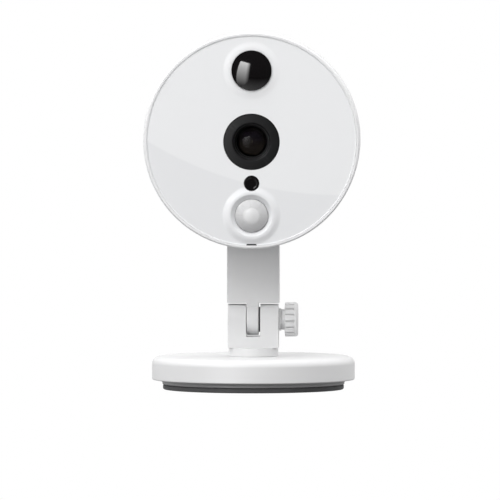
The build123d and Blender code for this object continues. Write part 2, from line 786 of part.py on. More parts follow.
pin_rise = filter_arm * cos(swing_half)
pin_point = (slot_middle, pivot_height + pin_rise - head_height)
with BuildPart() as filter_rotor:
    front_circles(slider_back, [(0, pivot_height - head_height)], 1.9,
                  slider_front + 0.55 - slider_back, Mode.ADD)
    with BuildSketch(facing(slider_front + 0.15, 0, pivot_height)):
        with Locations(Location((slot_middle / 2, pin_rise / 2), filter_swing / 2)):
            Rectangle(1.2, filter_arm)
        with Locations((slot_middle, pin_rise)):
            Circle(0.6)
    extrude(amount=0.4)
    front_circles(slider_back + 0.1, [pin_point], pin_radius, slider_front + 0.15 - slider_back,
                  Mode.ADD)
    front_circles(slider_back, [(0, pivot_height - head_height)], 0.6,
                  slider_front + 0.55 - slider_back, Mode.SUBTRACT)
write(filter_rotor, "filter_rotor")

with BuildPart() as filter_coil:
    block((4.2, track_front, pivot_height - 1.9), (9.2, chamber_front, pivot_height + 1.9))
    block((2.3, track_front, pivot_height - 0.8), (4.2, chamber_front, pivot_height + 0.8))
write(filter_coil, "filter_coil")

sensor_half = 4.2
with BuildPart() as image_sensor:
    block((-sensor_half, board_front, lens_height - sensor_half),
          (sensor_half, board_front + 0.8, lens_height + sensor_half))
write(image_sensor, "image_sensor")

# =================================================== sensors in the front ====
front_board_front = bulkhead_back - 0.2
with BuildPart() as front_board:
    block((-7.0, front_board_back, head_height - 29.9), (7.0, front_board_front, head_height - 17.0))
    block((-5.0, front_board_back, head_height - 17.0), (5.0, front_board_front, head_height - 10.6))
    front_circles(front_board_back, [(0, -microphone_drop)], 0.5,
                  front_board_front - front_board_back, Mode.SUBTRACT)
write(front_board, "front_board")

with BuildPart() as light_sensor_window:
    ring_forward(light_window_radius, 0, face_back, face_front + 0.1, light_height)
    ring_forward(light_flange_radius, 0, face_back - 0.7, face_back, light_height)
write(light_sensor_window, "light_sensor_window")

with BuildPart() as light_sensor:
    block((-1.2, front_board_front, light_height - 0.9),
          (1.2, front_board_front + 0.9, light_height + 0.9))
write(light_sensor, "light_sensor")

pir_shoulder = face_front + 0.1
with BuildPart() as pir_lens:
    dome(pir_radius, pir_shoulder, pir_apex, face_back, pir_height)
    ring_forward(pir_radius + pir_flange, 0, face_back - 0.7, face_back, pir_height)
    dome(pir_radius - pir_skin, pir_shoulder - 0.2, pir_apex - pir_skin, face_back - 0.7,
         pir_height, Mode.SUBTRACT)
write(pir_lens, "pir_lens")

with BuildPart() as pir_sensor:
    ring_forward(pir_can_radius, 0, front_board_front, front_board_front + 3.6, pir_height)
    block((-1.9, front_board_front + 3.5, pir_height - 1.4),
          (1.9, front_board_front + 3.7, pir_height + 1.4))
write(pir_sensor, "pir_sensor")

mic_height = head_height - microphone_drop
microphone_height = 1.4
with BuildPart() as microphone:
    block((-1.8, front_board_back - microphone_height, mic_height - 0.9),
          (1.8, front_board_back, mic_height + 1.3))
write(microphone, "microphone")

# =================================================== main board ====
speaker_height = head_height + speaker_rise
gasket_front = inner_back + 0.7
speaker_front = board_back - 0.8
with BuildPart() as main_board:
    ring_forward(inner_radius - 2.1, 0, board_back, board_front, head_height)
    front_circles(board_back, case_points, case_post_radius + gap, board_thickness,
                  Mode.SUBTRACT)
    front_circles(board_back, board_screw_points, board_screw_radius + fit, board_thickness,
                  Mode.SUBTRACT)
write(main_board, "main_board")

with BuildPart() as board_screws:
    front_circles(board_back - board_screw_head_height, board_screw_points, board_screw_head,
                  board_screw_head_height, Mode.ADD)
    front_circles(board_back, board_screw_points, board_screw_radius - thread_gap,
                  board_screw_depth, Mode.ADD)
    with BuildSketch(facing(board_back - board_screw_head_height)):
        with Locations(*board_screw_points):
            Rectangle(1.8, 0.4)
            Rectangle(0.4, 1.8)
    extrude(amount=0.6, mode=Mode.SUBTRACT)
write(board_screws, "board_screws")

with BuildPart() as processor_shield:
    block((-8.0, board_back - 2.4, head_height - 18.5), (8.0, board_back, head_height - 2.5))
write(processor_shield, "processor_shield")

with BuildPart() as wifi_module:
    block((-29.0, board_front, head_height - 4.0), (-17.0, board_front + 2.2, head_height + 8.0))
write(wifi_module, "wifi_module")

with BuildPart() as wifi_antenna:
    ring_forward(inner_radius - 0.02, inner_radius - 0.3, board_back + 0.2, head_parting - 2.2,
                 head_height)
    block((-40, board_back, head_height - 40), (40, head_parting, head_height + 14),
          Mode.SUBTRACT)
    block((-4, board_back, head_height), (40, head_parting, head_height + 40), Mode.SUBTRACT)
write(wifi_antenna, "wifi_antenna")

with BuildPart() as speaker_gasket:
    ring_forward(speaker_radius, speaker_radius - 1.2, inner_back, gasket_front, speaker_height)
write(speaker_gasket, "speaker_gasket")

with BuildPart() as speaker:
    ring_forward(speaker_radius, 0, gasket_front, gasket_front + 1.6, speaker_height)
    ring_forward(speaker_radius - 2.4, 0, gasket_front + 1.6, speaker_front, speaker_height)
    turn_forward([(0, gasket_front), (speaker_radius - 1.6, gasket_front), (4.2, gasket_front + 1.0),
                  (0, gasket_front + 1.0)], speaker_height, mode=Mode.SUBTRACT)
write(speaker, "speaker")

socket_back = shell_back + 0.4
socket_wall = 0.35
socket_inset = socket_wall + 0.13
socket_x, socket_z = socket_place
with BuildPart() as power_socket:
    with BuildSketch(facing(socket_back)):
        with Locations(socket_place):
            RectangleRounded(socket_width, socket_height, 0.7)
            RectangleRounded(socket_width - 2 * socket_wall, socket_height - 2 * socket_wall,
                             0.4, mode=Mode.SUBTRACT)
    extrude(amount=board_back - socket_back)
write(power_socket, "power_socket")

with BuildPart() as power_contacts:
    block((socket_x - socket_width / 2 + socket_inset, board_back - 2.0,
           head_height + socket_z - socket_height / 2 + socket_inset),
          (socket_x + socket_width / 2 - socket_inset, board_back,
           head_height + socket_z + socket_height / 2 - socket_inset))
    block((socket_x - 1.9, socket_back + 0.6, head_height + socket_z - 0.3),
          (socket_x + 1.9, board_back - 2.0, head_height + socket_z + 0.3))
write(power_contacts, "power_contacts")

card_end = inner_radius - 2.5
with BuildPart() as card_socket:
    block((card_end - 13.5, board_front, head_height - 7.4),
          (card_end, board_front + 1.9, head_height + 7.4))
    block((card_end - 8.0, card_forward, head_height - card_width / 2),
          (card_end, card_forward + card_slot, head_height + card_width / 2), Mode.SUBTRACT)
write(card_socket, "card_socket")

button_travel = 0.8
switch_back = board_back - 3.0
button_front = switch_back - button_travel - clear
with BuildPart() as button_switches:
    for across, rise in (reset_place, setup_place):
        block((across - 2.6, switch_back + 1.2, head_height + rise - 2.6),
              (across + 2.6, board_back, head_height + rise + 2.6))
        with BuildSketch(facing(switch_back)):
            with Locations((across, rise)):
                Circle(1.6)
        extrude(amount=1.2)
write(button_switches, "button_switches")


def push_button(radius, proud, place):
    """A plunger with a flange that keeps it inside the rear shell."""
    back = shell_back - proud
    front_circles(back, [place], radius, button_front - back, Mode.ADD)
    front_circles(inner_back + fit, [place], radius + 0.7, 0.8, Mode.ADD)


with BuildPart() as reset_button:
    push_button(reset_radius, -0.2, reset_place)
write(reset_button, "reset_button")

with BuildPart() as setup_button:
    push_button(setup_radius, 0.5, setup_place)
    fillet(edges().group_by(Axis.Y)[-1], radius=0.3)
write(setup_button, "setup_button")
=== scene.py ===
import json
import math
import bmesh
import bpy
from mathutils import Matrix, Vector
from mathutils.geometry import delaunay_2d_cdt


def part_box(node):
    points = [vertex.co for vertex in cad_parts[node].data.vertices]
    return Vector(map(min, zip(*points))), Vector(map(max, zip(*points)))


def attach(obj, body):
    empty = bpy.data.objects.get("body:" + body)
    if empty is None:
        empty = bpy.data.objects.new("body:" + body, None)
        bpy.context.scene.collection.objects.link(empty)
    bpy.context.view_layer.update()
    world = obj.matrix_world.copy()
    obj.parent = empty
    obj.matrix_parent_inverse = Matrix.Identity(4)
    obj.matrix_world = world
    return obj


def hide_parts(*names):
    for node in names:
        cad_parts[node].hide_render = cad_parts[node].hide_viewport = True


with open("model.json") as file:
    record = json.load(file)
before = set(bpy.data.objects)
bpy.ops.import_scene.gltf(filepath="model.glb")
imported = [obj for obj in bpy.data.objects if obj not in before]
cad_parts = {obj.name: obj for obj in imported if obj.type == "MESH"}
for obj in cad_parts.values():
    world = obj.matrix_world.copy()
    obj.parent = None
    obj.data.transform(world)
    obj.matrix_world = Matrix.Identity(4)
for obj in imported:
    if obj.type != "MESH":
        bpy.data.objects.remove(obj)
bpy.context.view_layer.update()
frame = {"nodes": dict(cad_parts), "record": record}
nodes = frame["nodes"]
mm = 0.001

# where things are, from the frame
def span(node):
    low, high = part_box(node)
    return low / mm, high / mm

def centreOf(node):
    low, high = span(node)
    return (low + high) / 2

headLow, headHigh = span("front_shell")
headCentre = Vector((0, 0, (headLow.z + headHigh.z) / 2))
headRadius = (headHigh.z - headLow.z) / 2
seatRadius = headRadius - 1.05  # the rim around the face plate is 1.05 wide
plateBack = -span("face_plate")[1].y
irCentre = centreOf("ir_window")
lensCentre = centreOf("lens_ring")
lightCentre = centreOf("light_sensor_window")
pirCentre = centreOf("pir_lens")
knobCentre = centreOf("thumbscrew")
print("frame read: head radius", round(headRadius, 2), "at height", round(headCentre.z, 2))

# mesh helpers: lengths in mm here, metres in the mesh
def addObject(name, data):
    obj = bpy.data.objects.new(name, data)
    bpy.context.scene.collection.objects.link(obj)
    return obj

def makeObject(name, verts, faces, sharpAngle=35):
    mesh = bpy.data.meshes.new(name)
    mesh.from_pydata([Vector(v) * mm for v in verts], [], faces)
    bm = bmesh.new()
    bm.from_mesh(mesh)
    bmesh.ops.remove_doubles(bm, verts=bm.verts, dist=1e-7)
    bmesh.ops.recalc_face_normals(bm, faces=bm.faces)
    bm.to_mesh(mesh)
    bm.free()
    obj = addObject(name, mesh)
    smooth(obj, sharpAngle)
    return obj

def smooth(obj, sharpAngle):
    obj.data.shade_smooth()
    obj.data.set_sharp_from_angle(angle=math.radians(sharpAngle))

# closed outline of (radius, along, fillet) corners with the fillets as arcs
def roundCorners(corners, steps=6):
    outline = []
    count = len(corners)
    for i, (x, y, fillet) in enumerate(corners):
        here = Vector((x, y))
        if fillet <= 0:
            outline.append(here)
            continue
        before = (Vector(corners[i - 1][:2]) - here).normalized()
        after = (Vector(corners[(i + 1) % count][:2]) - here).normalized()
        half = before.angle(after) / 2
        reach = fillet / math.tan(half)
        middle = here + (before + after).normalized() * (fillet / math.sin(half))
        start = here + before * reach - middle
        end = here + after * reach - middle
        turn = start.angle_signed(end)
        for k in range(steps + 1):
            angle = -turn * k / steps
            c, s = math.cos(angle), math.sin(angle)
            outline.append(middle + Vector((start.x * c - start.y * s, start.x * s + start.y * c)))
    return outline

# turns (radius, along, angle) into a place: along is forward (-Y) or across (+X)
def placer(axis, centre):
    def place(radius, along, angle):
        a, b = radius * math.cos(angle), radius * math.sin(angle)
        if axis == "forward":
            return Vector((centre.x + a, -along, centre.z + b))
        return Vector((along, centre.y + a, centre.z + b))
    return place

# a closed outline turned all the way round. ripple may move each (radius, along, angle)
def lathe(name, corners, axis, centre, segments=192, sharpAngle=35, ripple=None):
    outline = roundCorners(corners)
    place = placer(axis, centre)
    verts, faces = [], []
    rows = len(outline)
    for k in range(segments):
        angle = 2 * math.pi * k / segments
        for point in outline:
            radius, along = point.x, point.y
            if ripple:
                radius, along = ripple(radius, along, angle)
            verts.append(place(radius, along, angle))
    for k in range(segments):
        following = (k + 1) % segments
        for i in range(rows):
            j = (i + 1) % rows
            ring = [k * rows + i, k * rows + j, following * rows + j, following * rows + i]
            onAxis = outline[i].x < 1e-9, outline[j].x < 1e-9
            if onAxis[0] and onAxis[1]:
                continue
            if onAxis[0]:
                ring = [i, ring[1], ring[2]]
            elif onAxis[1]:
                ring = [ring[0], j, ring[3]]
            faces.append(ring)
    return makeObject(name, verts, faces, sharpAngle)

# corners from a dome's rim up to its apex, as a sphere cap
def domeOutline(radius, shoulder, apex, steps=28):
    rise = apex - shoulder
    sphere = (radius * radius + rise * rise) / (2 * rise)
    full = math.asin(radius / sphere)
    points = []
    for k in range(steps + 1):
        angle = full * (1 - k / steps)
        points.append((sphere * math.sin(angle), apex - sphere * (1 - math.cos(angle)), 0))
    points[-1] = (0, apex, 0)
    return points

def easeEdges(obj, width, segments):
    bevel = obj.modifiers.new("easedEdges", "BEVEL")
    bevel.width = width * mm
    bevel.segments = segments
    bevel.limit_method = "ANGLE"
    bevel.angle_limit = math.radians(30)
    applyModifiers(obj)

# a smooth copy of a CAD node: loose triangles joined, flats cleaned and edges eased
def refine(node, name, width):
    obj = addObject(name, nodes[node].data.copy())
    obj.data.name = name
    obj.data.materials.clear()
    bm = bmesh.new()
    bm.from_mesh(obj.data)
    bmesh.ops.remove_doubles(bm, verts=bm.verts, dist=2e-6)
    bmesh.ops.dissolve_limit(bm, angle_limit=math.radians(0.4), verts=bm.verts, edges=bm.edges,
                             use_dissolve_boundaries=False)
    bm.to_mesh(obj.data)
    bm.free()
    if width > 0:
        easeEdges(obj, width, 3)
    smooth(obj, 40)
    level = obj.modifiers.new("levelFlats", "WEIGHTED_NORMAL")  # flats stay flat beside eased edges
    level.mode = "FACE_AREA"
    level.weight = 100
    level.keep_sharp = True
    applyModifiers(obj)
    return obj

# turns an object with live modifiers into a plain mesh
def applyModifiers(obj):
    graph = bpy.context.evaluated_depsgraph_get()
    graph.update()
    mesh = bpy.data.meshes.new_from_object(obj.evaluated_get(graph), depsgraph=graph)
    obj.modifiers.clear()
    obj.data = mesh

def finishPiece(obj, body, material, slotName, *replaced):
    obj.data.materials.clear()
    obj.data.materials.append(material)
    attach(obj, body)
    if replaced:
        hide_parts(*replaced)
    return obj

# node helpers: an input named by label or number is linked if given a socket, and set otherwise
def feed(tree, node, inputs):
    for key, value in inputs.items():
        if isinstance(value, bpy.types.NodeSocket):
            tree.links.new(value, node.inputs[key])
        else:
            node.inputs[key].default_value = value

def addNode(tree, kind, inputs=None, **settings):
    node = tree.nodes.new(kind)
    for key, value in settings.items():
        setattr(node, key, value)
    feed(tree, node, inputs or {})
    return node

def groupSocket(tree, name, direction, kind="NodeSocketFloat"):
    return tree.interface.new_socket(name=name, in_out=direction, socket_type=kind)

def maths(tree, operation, *values):
    return addNode(tree, "ShaderNodeMath", dict(enumerate(values)), operation=operation).outputs[0]

def mapRange(tree, source, low, high, fromLow=0.0, fromHigh=1.0):
    return addNode(tree, "ShaderNodeMapRange", {
        "Value": source, "From Min": fromLow, "From Max": fromHigh,
        "To Min": low, "To Max": high}).outputs["Result"]

def noise(tree, place, scale, detail):
    return addNode(tree, "ShaderNodeTexNoise", {
        "Vector": place, "Scale": scale, "Detail": detail}).outputs["Fac"]

def mixColour(tree, factor, first, second):
    node = addNode(tree, "ShaderNodeMix", data_type="RGBA")
    for key, value in (("Factor", factor), (6, first), (7, second)):
        feed(tree, node, {key: (*value, 1) if isinstance(value, tuple) else value})
    return node.outputs[2]

def bumpFrom(tree, height, strength, distance, normal=None):
    bump = addNode(tree, "ShaderNodeBump", {
        "Height": height, "Strength": strength, "Distance": distance * mm})
    if normal:
        feed(tree, bump, {"Normal": normal})
    return bump.outputs["Normal"]

def objectPlace(tree):
    return addNode(tree, "ShaderNodeTexCoord").outputs["Object"]

# how far a spot is from a line that runs front to back through a centre
def distanceFrom(tree, centre):
    def vector(operation, *values):
        return addNode(tree, "ShaderNodeVectorMath", dict(enumerate(values)), operation=operation).outputs
    shifted = vector("SUBTRACT", objectPlace(tree), centre)[0]
    return vector("LENGTH", vector("MULTIPLY", shifted, (1, 0, 1))[0])["Value"]

# fine moulded grain: a height and a slow mottling, both varying over the surface
def makeGrainGroup():
    tree = bpy.data.node_groups.new("mouldedGrain", "ShaderNodeTree")
    groupSocket(tree, "Grain Size", "INPUT")
    groupSocket(tree, "Height", "OUTPUT")
    groupSocket(tree, "Mottle", "OUTPUT")
    inward = addNode(tree, "NodeGroupInput")
    place = objectPlace(tree)
    fineScale = maths(tree, "DIVIDE", 1000, inward.outputs["Grain Size"])
    addNode(tree, "NodeGroupOutput", {
        "Height": noise(tree, place, fineScale, 3), "Mottle": noise(tree, place, 90, 4)})
    return tree

# edge wear and settled dust: a mask at eased edges and one on upward faces
def makeWearGroup():
    tree = bpy.data.node_groups.new("edgesAndDust", "ShaderNodeTree")
    groupSocket(tree, "Edge Amount", "INPUT")
    groupSocket(tree, "Dust Amount", "INPUT")
    groupSocket(tree, "Edge Mask", "OUTPUT")
    groupSocket(tree, "Dust Mask", "OUTPUT")
    inward = addNode(tree, "NodeGroupInput")
    geometry = addNode(tree, "ShaderNodeNewGeometry")
    place = objectPlace(tree)
    facing = addNode(tree, "ShaderNodeSeparateXYZ", {0: geometry.outputs["Normal"]})
    edge = mapRange(tree, geometry.outputs["Pointiness"], 0.0, 1.0, 0.52, 0.62)
    broken = maths(tree, "MULTIPLY", edge, noise(tree, place, 420, 5))
    upward = mapRange(tree, facing.outputs["Z"], 0.0, 1.0, 0.4, 1.0)
    specks = mapRange(tree, noise(tree, place, 1500, 2), 0.0, 1.0, 0.6, 0.75)
    dusty = maths(tree, "MULTIPLY", upward, specks)
    addNode(tree, "NodeGroupOutput", {
        "Edge Mask": maths(tree, "MULTIPLY", broken, inward.outputs["Edge Amount"]),
        "Dust Mask": maths(tree, "MULTIPLY", dusty, inward.outputs["Dust Amount"])})
    return tree

grainGroup = makeGrainGroup()
wearGroup = makeWearGroup()
mottleSpread = (0.3, 0.7)  # the noise lies mostly between these

def startMaterial(name, settings):
    material = bpy.data.materials.new(name)
    material.use_nodes = True
    tree = material.node_tree
    shader = tree.nodes["Principled BSDF"]
    feed(tree, shader, settings)
    return material, tree, shader

def grainNodes(tree, size):
    return addNode(tree, "ShaderNodeGroup", node_tree=grainGroup, inputs={"Grain Size": size}).outputs

def wearNodes(tree, edge, dust):
    return addNode(tree, "ShaderNodeGroup", node_tree=wearGroup,
                   inputs={"Edge Amount": edge, "Dust Amount": dust}).outputs

# moulded plastic: grain, slow mottling of the gloss, eased-edge wear and dust
def mouldedPlastic(name, look):
    material, tree, shader = startMaterial(name, {
        "Coat Weight": look.get("coat", 0.0), "Coat Roughness": look.get("coatRoughness", 0.1),
        "Specular IOR Level": look.get("specular", 0.5)})
    grain = grainNodes(tree, look["grain"])
    wear = wearNodes(tree, look["wear"], look["dust"])
    colour = mixColour(tree, grain["Mottle"], look["shade"], look["colour"])
    colour = mixColour(tree, wear["Edge Mask"], colour, look["edge"])
    colour = mixColour(tree, wear["Dust Mask"], colour, look["dustColour"])
    rough, spread = look["rough"], look["roughSpread"]
    feed(tree, shader, {
        "Base Color": colour,
        "Roughness": mapRange(tree, grain["Mottle"], rough - spread, rough + spread, *mottleSpread),
        "Normal": bumpFrom(tree, grain["Height"], look["bump"], look["bumpDepth"])})
    return material

plasticLooks = {
    "shellWhite": dict(colour=(0.765, 0.765, 0.77), shade=(0.75, 0.75, 0.757), edge=(0.86, 0.86, 0.86),
                       dustColour=(0.72, 0.71, 0.69), rough=0.3, roughSpread=0.03, grain=0.16,
                       bump=0.12, bumpDepth=0.01, wear=0.2, dust=0.15, coat=0.25, coatRoughness=0.12),
    "standWhite": dict(colour=(0.70, 0.70, 0.703), shade=(0.686, 0.686, 0.69), edge=(0.8, 0.8, 0.8),
                       dustColour=(0.72, 0.71, 0.69), rough=0.42, roughSpread=0.04, grain=0.14,
                       bump=0.16, bumpDepth=0.01, wear=0.2, dust=0.2, coat=0.12, coatRoughness=0.2),
    "satinBlack": dict(colour=(0.011, 0.011, 0.0115), shade=(0.008, 0.008, 0.0085),
                       edge=(0.05, 0.05, 0.052), dustColour=(0.1, 0.1, 0.1), rough=0.42,
                       roughSpread=0.05, grain=0.1, bump=0.2, bumpDepth=0.012, wear=0.3, dust=0.2,
                       specular=0.2),
    "padRubber": dict(colour=(0.115, 0.116, 0.118), shade=(0.1, 0.101, 0.103), edge=(0.12, 0.12, 0.12),
                      dustColour=(0.2, 0.2, 0.2), rough=0.72, roughSpread=0.06, grain=0.2,
                      bump=0.35, bumpDepth=0.03, wear=0.5, dust=0.3, specular=0.4),
    "darkPlate": dict(colour=(0.46, 0.46, 0.463), shade=(0.43, 0.43, 0.433), edge=(0.5, 0.5, 0.5),
                      dustColour=(0.25, 0.25, 0.25), rough=0.5, roughSpread=0.05, grain=0.15,
                      bump=0.25, bumpDepth=0.02, wear=0.4, dust=0.3),
    "chipBlack": dict(colour=(0.03, 0.03, 0.032), shade=(0.022, 0.022, 0.024), edge=(0.06, 0.06, 0.06),
                      dustColour=(0.12, 0.12, 0.12), rough=0.55, roughSpread=0.06, grain=0.08,
                      bump=0.2, bumpDepth=0.01, wear=0.3, dust=0.2),
    "foam": dict(colour=(0.06, 0.06, 0.06), shade=(0.04, 0.04, 0.04), edge=(0.08, 0.08, 0.08),
                 dustColour=(0.15, 0.15, 0.15), rough=0.9, roughSpread=0.05, grain=0.5,
                 bump=0.8, bumpDepth=0.08, wear=0.1, dust=0.2),
}
materials = {name: mouldedPlastic(name, look) for name, look in plasticLooks.items()}

# face colours: the lighter tone above a soft arc is a painted reflection of a curved window, the darker
# tone lies below the arc
faceReflectionLook = dict(above=(0.775, 0.78, 0.788), below=(0.73, 0.735, 0.746), reflectionEdgeRadius=118.0,
                reflectionEdgeCentre=(28.0, 100.7), blur=0.35)

# polished face with a painted reflection: a lighter tone above a soft arc below the lens, a darker tone
# below it
def facePlastic():
    material, tree, shader = startMaterial("facePolish", {
        "Coat Weight": 0.08, "Coat Roughness": 0.1, "Specular IOR Level": 0.22})
    grain = grainNodes(tree, 0.3)
    wear = wearNodes(tree, 0.15, 0.1)
    across, up = faceReflectionLook["reflectionEdgeCentre"]
    radius, blur = faceReflectionLook["reflectionEdgeRadius"], faceReflectionLook["blur"]
    # painted reflection: the face turns from its lighter tone to its darker one across a soft arc below the
    # lens
    length = distanceFrom(tree, Vector((across, 0, headCentre.z + up)) * mm)
    below = mapRange(tree, length, 0.0, 1.0, (radius - blur) * mm, (radius + blur) * mm)
    colour = mixColour(tree, below, faceReflectionLook["above"], faceReflectionLook["below"])
    colour = mixColour(tree, wear["Dust Mask"], colour, (0.7, 0.69, 0.67))
    feed(tree, shader, {
        "Base Color": mixColour(tree, wear["Edge Mask"], colour, faceReflectionLook["above"]),
        "Roughness": mapRange(tree, grain["Mottle"], 0.14, 0.2, *mottleSpread),
        "Normal": bumpFrom(tree, grain["Mottle"], 0.04, 0.02)})
    return material

# polished infrared-pass plastic: near black, with fine wiping marks in the gloss
def glossBlack():
    material, tree, shader = startMaterial("infraredBlack", {
        "Coat Weight": 1.0, "Coat Roughness": 0.02, "Specular IOR Level": 0.9})
    grain = grainNodes(tree, 0.4)
    wear = wearNodes(tree, 0.2, 0.3)
    colour = mixColour(tree, grain["Mottle"], (0.002, 0.0015, 0.002), (0.004, 0.003, 0.0035))
    feed(tree, shader, {
        "Base Color": mixColour(tree, wear["Dust Mask"], colour, (0.06, 0.06, 0.06)),
        "Roughness": mapRange(tree, grain["Mottle"], 0.05, 0.1, *mottleSpread),
        "Normal": bumpFrom(tree, grain["Mottle"], 0.03, 0.01)})
    return material

milkyLook = dict(zone=(2.2, 2.9), ringPitch=0.42, outer=(0.54, 0.54, 0.545), inner=(0.65, 0.65, 0.655),
                 outerRing=(0.57, 0.57, 0.575), innerRing=(0.7, 0.7, 0.705))

# milky lens material: light scatters in it and the lens zones show faintly
def milkyPlastic():
    look = milkyLook
    material, tree, shader = startMaterial("milkyLens", {
        "Subsurface Weight": 0.35, "Subsurface Scale": 0.0015, "Subsurface Radius": (1.0, 1.0, 1.0),
        "Specular IOR Level": 0.45})
    grain = grainNodes(tree, 0.2)
    wear = wearNodes(tree, 0.2, 0.2)
    length = distanceFrom(tree, Vector((pirCentre.x, 0, pirCentre.z)) * mm)
    zone = mapRange(tree, length, 1.0, 0.0, look["zone"][0] * mm, look["zone"][1] * mm)
    turns = maths(tree, "MULTIPLY", length, 2 * math.pi / (look["ringPitch"] * mm))
    rings = mapRange(tree, maths(tree, "SINE", turns), 0.0, 1.0, -1.0, 1.0)
    plain = mixColour(tree, zone, look["outer"], look["inner"])
    ringed = mixColour(tree, zone, look["outerRing"], look["innerRing"])
    colour = mixColour(tree, rings, plain, ringed)
    fine = bumpFrom(tree, grain["Height"], 0.1, 0.01)
    feed(tree, shader, {
        "Base Color": mixColour(tree, wear["Dust Mask"], colour, (0.55, 0.55, 0.54)),
        "Roughness": mapRange(tree, grain["Mottle"], 0.3, 0.38, *mottleSpread),
        "Normal": bumpFrom(tree, rings, 0.12, 0.02, fine)})
    return material

# optical glass with a thin anti-reflection film and faint wiping marks
def coatedGlass(name, tint, film, bend):
    material, tree, shader = startMaterial(name, {
        "Transmission Weight": 1.0, "IOR": bend, "Thin Film Thickness": film, "Thin Film IOR": 1.38})
    grain = grainNodes(tree, 0.5)
    lighter = tuple(min(1.0, c * 1.04) for c in tint)
    feed(tree, shader, {
        "Base Color": mixColour(tree, grain["Mottle"], tint, lighter),
        "Roughness": mapRange(tree, grain["Mottle"], 0.0, 0.02, *mottleSpread)})
    return material

# plated metal with brushing along one way and darker tarnish in patches
def metal(name, colour, dark, rough, brushed):
    material, tree, shader = startMaterial(name, {"Metallic": 1.0})
    stretched = addNode(tree, "ShaderNodeMapping", {
        "Vector": objectPlace(tree), "Scale": (400, 400, 6000) if brushed else (1500, 1500, 1500)})
    streaks = noise(tree, stretched.outputs[0], 1, 4)
    grain = grainNodes(tree, 0.2)
    wear = wearNodes(tree, 0.5, 0.4)
    shade = mixColour(tree, grain["Mottle"], dark, colour)
    feed(tree, shader, {
        "Base Color": mixColour(tree, wear["Dust Mask"], shade, tuple(c * 0.7 for c in colour)),
        "Roughness": mapRange(tree, streaks, rough - 0.08, rough + 0.1, *mottleSpread),
        "Normal": bumpFrom(tree, streaks, 0.12, 0.01)})
    return material

# green solder mask over faint copper tracks with plated dots
def circuitBoard():
    material, tree, shader = startMaterial("circuitBoard", {"Coat Weight": 0.4, "Coat Roughness": 0.15})
    turned = addNode(tree, "ShaderNodeMapping", {
        "Vector": objectPlace(tree), "Rotation": (math.pi / 2, 0, 0)}).outputs[0]
    tracks = addNode(tree, "ShaderNodeTexBrick", {
        "Vector": turned, "Scale": 520, "Mortar Size": 0.06, "Color1": (0, 0, 0, 1),
        "Color2": (0.25, 0.25, 0.25, 1), "Mortar": (1, 1, 1, 1)}).outputs["Color"]
    dots = addNode(tree, "ShaderNodeTexVoronoi", {"Vector": turned, "Scale": 420},
                   feature="F1").outputs["Distance"]
    pads = mapRange(tree, dots, 1.0, 0.0, 0.12, 0.16)
    colour = mixColour(tree, tracks, (0.012, 0.085, 0.035), (0.02, 0.16, 0.06))
    feed(tree, shader, {
        "Base Color": mixColour(tree, pads, colour, (0.72, 0.6, 0.34)), "Metallic": pads,
        "Roughness": mapRange(tree, dots, 0.3, 0.45),
        "Normal": bumpFrom(tree, tracks, 0.2, 0.03)})
    return material

materials["facePolish"] = facePlastic()
materials["infraredBlack"] = glossBlack()
materials["milkyLens"] = milkyPlastic()
for name, tint, film, bend in (
        ("frontGlass", (0.8, 0.78, 0.8), 0, 1.2), ("innerGlass", (0.5, 0.5, 0.52), 520, 1.3),
        ("filterGlass", (0.4, 0.5, 0.52), 300, 1.3), ("emitterGlass", (0.95, 0.93, 0.85), 0, 1.5)):
    materials[name] = coatedGlass(name, tint, film, bend)
for name, colour, dark, rough, brushed in (
        ("steel", (0.62, 0.62, 0.63), (0.5, 0.5, 0.51), 0.32, True),
        ("castIron", (0.28, 0.28, 0.29), (0.2, 0.2, 0.21), 0.6, False),
        ("magnet", (0.2, 0.2, 0.21), (0.14, 0.14, 0.15), 0.5, False),
        ("tin", (0.72, 0.72, 0.7), (0.6, 0.6, 0.58), 0.28, True),
        ("gold", (0.86, 0.65, 0.3), (0.75, 0.53, 0.22), 0.25, False),
        ("copper", (0.75, 0.36, 0.18), (0.6, 0.26, 0.12), 0.35, True)):
    materials[name] = metal(name, colour, dark, rough, brushed)
materials["circuitBoard"] = circuitBoard()
slotMaterials = {
    "white_shell": "shellWhite", "face_gloss": "facePolish", "black_gloss": "infraredBlack",
    "black_satin": "satinBlack", "milky_lens": "milkyLens", "stand_plastic": "standWhite",
    "dark_plate": "darkPlate", "pad_rubber": "padRubber", "steel": "steel", "cast_weight": "castIron",
    "magnet": "magnet", "optic_glass": "innerGlass", "filter_glass": "filterGlass",
    "board_green": "circuitBoard", "chip_black": "chipBlack", "shield_tin": "tin",
    "contact_gold": "gold", "copper_coil": "copper", "led_clear": "emitterGlass", "foam": "foam"}
for part in frame["record"]["subparts"]:
    cadMesh = nodes[part["node"]].data
    cadMesh.materials.clear()
    cadMesh.materials.append(materials[slotMaterials[part["material_slot"]]])
print("materials made:", len(bpy.data.materials))

# camera
cameraLook = dict(azimuth=1.3, elevation=2.2, distance=4000.0, frameWidth=160.3, aim=(-1.1, 0.0, 44.6))

def addCamera():
    a, e = math.radians(cameraLook["azimuth"]), math.radians(cameraLook["elevation"])
    back = Vector((math.sin(a) * math.cos(e), -math.cos(a) * math.cos(e), math.sin(e)))
    data = bpy.data.cameras.new("camera")
    data.sensor_width = 36
    data.lens = data.sensor_width * cameraLook["distance"] / cameraLook["frameWidth"]
    data.clip_start, data.clip_end = 0.05, 50
    camera = addObject("camera", data)
    camera.location = (Vector(cameraLook["aim"]) + back * cameraLook["distance"]) * mm
    camera.rotation_euler = back.to_track_quat("Z", "Y").to_euler()
    bpy.context.scene.camera = camera

addCamera()

